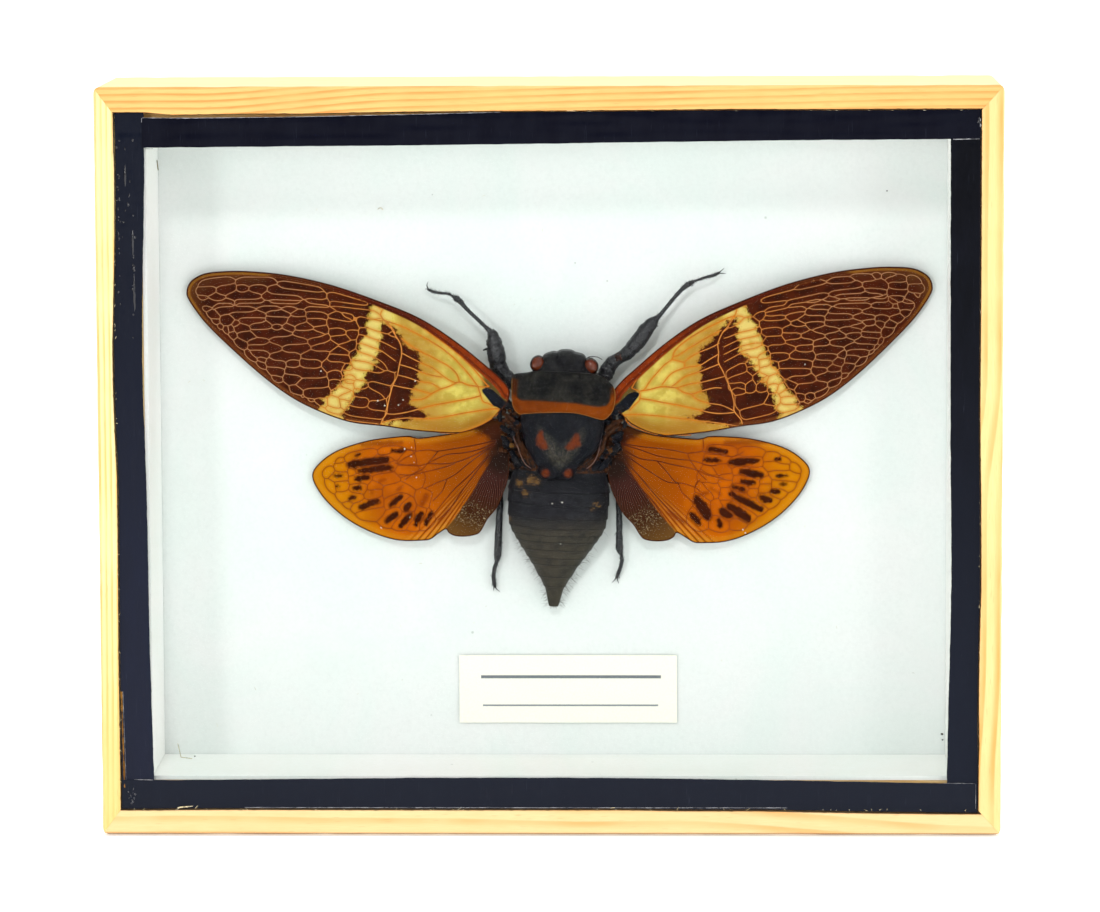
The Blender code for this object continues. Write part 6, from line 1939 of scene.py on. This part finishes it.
def make_hairs():
    """Fine hairs along the tail."""
    rng = random.Random(5)
    shape = Shape()
    for sign in [sign for sign in (-1, 1) for _ in range(64)]:
        along = -21.8 + 14.0 * rng.random() ** 1.2
        if along > -9.5 and rng.random() < 0.7:
            continue
        half, low, high = body_at(TRUNK, along)
        height = low + (high - low) * rng.uniform(0.35, 0.65)
        root = Vector(place(*body_point(sign * (half - 0.08), along), height))
        length = rng.uniform(0.5, 1.5)
        out = (sign * 0.85 + rng.uniform(-0.3, 0.3), rng.uniform(-0.5, 0.3), rng.uniform(-0.9, 0.15))
        out = Vector(out).normalized()
        bend = Vector((rng.uniform(-0.15, 0.15), 0, rng.uniform(-0.3, -0.05))) * length
        line = [root + out * length * way + bend * sag for way, sag in HAIR_BEND]
        shape.tube(line, [0.024, 0.02, 0.014, 0.005], 4)
    tail = Vector(place(*body_point(0, -21.9), 3.0))
    for _ in range(26):
        out = Vector((rng.uniform(-0.9, 0.9), rng.uniform(-0.4, 0.4), -1)).normalized()
        root = tail + Vector((rng.uniform(-0.5, 0.5), rng.uniform(-0.3, 0.3), 0.1))
        length = rng.uniform(0.3, 0.8)
        shape.tube([root, root + out * length * 0.6, root + out * length], [0.02, 0.015, 0.005], 4)
    shape.piece("tail_hairs", plain("hair_brown", "4b443a", "3a342c", "6a6152"), *BODY)


def make_litter():
    """Loose fibres and crumbs of wood, as any such box holds, and pale flecks that paint glints on the wings
    and the abdomen.
    """
    rng = random.Random(8)
    chips = Shape()
    for x, z, turn, length, width, y in CHIPS:
        run = Vector((math.cos(turn), 0, math.sin(turn))) * length / 2
        middle = Vector((x, y, z))
        line = [middle - run, middle - run * 0.3 + Vector((0, -0.08, 0.05)),
                middle + run * 0.4 + Vector((0, -0.05, 0)), middle + run]
        swell = (0.3, 0.8, 1, 1, 1, 1, 1, 1, 0.9, 0.8, 0.6, 0.4, 0.2)
        chips.tube(curve(line, 4), [width / 2 * f for f in swell], 5, flat=0.6)
    for side in [side for side in LIP for _ in range(36)]:
        end = rng.uniform(-0.97, 0.97)
        root = Vector(rail_point(side, LIP[side] + rng.uniform(0.0, 0.12), -15.75 + rng.uniform(0, 0.3), end))
        away, stray = rng.uniform(-1, 1), 0.25
        away = Vector((away, 0, stray) if side in LEVEL else (stray, 0, away)) * rng.uniform(0.2, 0.7)
        tip = root + away + Vector((INWARD[side][0], 0, INWARD[side][1])) * rng.uniform(0.02, 0.2)
        chips.tube([root, (root + tip) / 2, tip], [0.05, 0.04, 0.01], 4)
    chips.piece("wood_splinters", plain("pale_fibre", "e3d8b8", "cdbb8a", "f4eed8"), "pine")
    fibres = Shape()
    for line in FIBRES:
        fibres.tube(curve(line, 5), 0.055, 5)
    for _ in range(26):
        x, z = rng.uniform(-64, 64), rng.uniform(14, 114)
        turn = rng.uniform(0, math.pi)
        step = Vector((math.cos(turn), 0, math.sin(turn))) * rng.uniform(0.1, 0.3)
        middle = Vector((x, CARD_TOP + 0.03, z))
        fibres.tube([middle - step, middle + Vector((0, -0.04, 0.03)), middle + step], 0.025, 4)
    fibres.piece("card_fibres", plain("fibre_tan", "d8cfae", "b9ab84", "e9e4cf"), "white_card")
    stain = Shape()
    stain.tube(curve([(-67.66, 6.5, 113.2), (-67.66, 7.2, 112.3), (-67.66, 8.4, 111.4)], 4), 0.09)
    stain.piece("wall_stain", plain("stain_olive", "a39c7c", "857c5c", "c8c2a4"), "white_card")
    dots = Shape()
    dots.lump((-62.3, 6.25, 9.75), (0.17, 0.14, 0.08), 2.0, rough=0.5, rings=6)
    for x, z, size in CRUMBS:
        dots.lump((x, BACKING_Y - 0.1, z), (size, 0.08, size * 0.7), x, rough=0.5, rings=6)
    dots.piece("dark_crumbs", plain("crumb_brown", "3b3a3c", "4d4030", "6d6050", 0.02), "white_card")
    # Pale flecks on the wings and the abdomen: painted glints.
    glint_flecks = Shape()
    for (fore, side), spots in GLINT_FLECKS.items():
        hinge = (FOREWING_HINGE if fore else HINDWING_HINGE)[side]
        for u, v in spots:
            height = fore_height(u) if fore else hind_height(u, v)
            centre = wing_place(hinge, np.array([[u, v]]), np.array([height + 0.14]))[0]
            size = (rng.uniform(0.06, 0.17), 0.04, rng.uniform(0.05, 0.12))
            glint_flecks.lump(centre, size, u, rough=1.2, rings=6, turn=rng.uniform(0, 3))
    for side, along, height in ((0.75, -2.85, 11.15), (-0.95, -3.1, 11.15), (0.8, -10.2, 9.4)):
        glint_flecks.lump(place(*body_point(side, along), height), (0.16, 0.06, 0.12), side, rough=0.6, rings=5)
    glint_flecks.piece("white_glint_flecks", plain("glint_white", "e8e4da", "cfc9bb", "ffffff"), "white_card")


def dress_kept():
    """Materials for the solids that stay as they are."""
    liner = card("liner_paper", "fdfdfb", "f6f6f1", 0.04)
    skins = {"backing_card": card("backing_paper", "dcdfdd", "d6d9d7", 0.03), "back_board": hardboard()}
    for name, node in NODES.items():
        skin = liner if name.startswith("liner") else skins.get(name)
        if skin:
            node.data.materials.clear()
            node.data.materials.append(skin)


# ---- The stage ----


def make_world():
    """A white studio, brighter from the right and from above."""
    world = bpy.data.worlds.new("studio")
    world.use_nodes = True
    nodes = Nodes(world.node_tree)
    x, _, z = nodes.split(nodes.add("TexCoord", output="Generated"))
    glow = nodes.plus(nodes.step(x, 0.35, 0.9, 0.0, 0.62), 0.43)
    glow = nodes.plus(nodes.step(z, 0.12, 0.8, 0.0, 0.55), glow)
    background = world.node_tree.nodes["Background"]
    nodes.plug(background.inputs["Color"], "ffffff")
    nodes.plug(background.inputs["Strength"], glow)
    bpy.context.scene.world = world


def make_camera():
    lens = bpy.data.cameras.new("view")
    lens.sensor_width = 36.0
    lens.lens = FOCAL_PIXELS / PHOTO_PIXELS * lens.sensor_width
    lens.clip_start = 0.01
    view = put("view", lens)
    level = Matrix(((1, 0, 0), (0, 0, -1), (0, 1, 0)))
    turn = Matrix.Rotation(0.0264002, 3, "Z") @ Matrix.Rotation(-0.1180707, 3, "X")
    pose = (turn @ Matrix.Rotation(0.0039645, 3, "Y") @ level).to_4x4()
    pose.translation = Vector((25.1954, -965.9, 177.4857)) * MM
    view.matrix_world = pose
    bpy.context.scene.camera = view


def make_stage():
    """The white floor, the lights and the photo's point of view."""
    floor = bpy.data.meshes.new("floor")
    floor.from_pydata([(-4, -4, 0), (4, -4, 0), (4, 4, 0), (-4, 4, 0)], [], [(0, 1, 2, 3)])
    p = Paint("floor_white")
    colour = p.mix(p.step(p.noise(0.01), 0.3, 0.7), "fafafa", "f6f6f6")
    p.plug(p.shader.inputs["Emission Color"], "ffffff")
    floor.materials.append(p.done(colour, 0.9, Emission_Strength=0.35))
    made = put("floor", floor)
    made.location.z = -0.0002
    make_world()
    for name, way, strength, angle in (
        ("key_left", (-10.8, -24.3, 2.5), 0.5, 8.0),
        ("key_high", (-1.0, -24.3, 13.6), 0.72, 8.0),
        ("fill", (13.0, -24.3, 5.0), 0.3, 12.0),
        ("top", (0.0, 2.0, 24.0), 0.8, 10.0),
    ):
        sun = bpy.data.lights.new(name, "SUN")
        sun.energy = strength
        sun.angle = math.radians(angle)
        put(name, sun).rotation_euler = Vector(way).to_track_quat("Z", "Y").to_euler()
    make_camera()
    bpy.context.scene.view_settings.view_transform = "Standard"


make_rail("top", "f5bc6c", "d88832", 1.15, 0.35, [(-60, -22, 2.4), (-26, 10, 1.0), (0, 76, 1.3)])
make_rail("bottom", "f6d096", "e4ac64", 2.6, 0.3, [(-70, 20, -0.9), (20, 76, -3.4)], 0.8)
make_rail("left", "ffe4a5", "efb75f", 0.92, 0.35, [(10, 60, 0.3)], 0.3, "f4ce82")
make_rail("right", "fbd590", "e7a350", 2.4, 0.5, [(54, 80, 2.4), (8, 30, 0.9)], 0.5)
make_tapes()
make_pane()
make_label()
make_body()
make_eyes()
make_hinges()
make_wings()
make_legs()
make_hairs()
make_litter()
dress_kept()
make_stage()
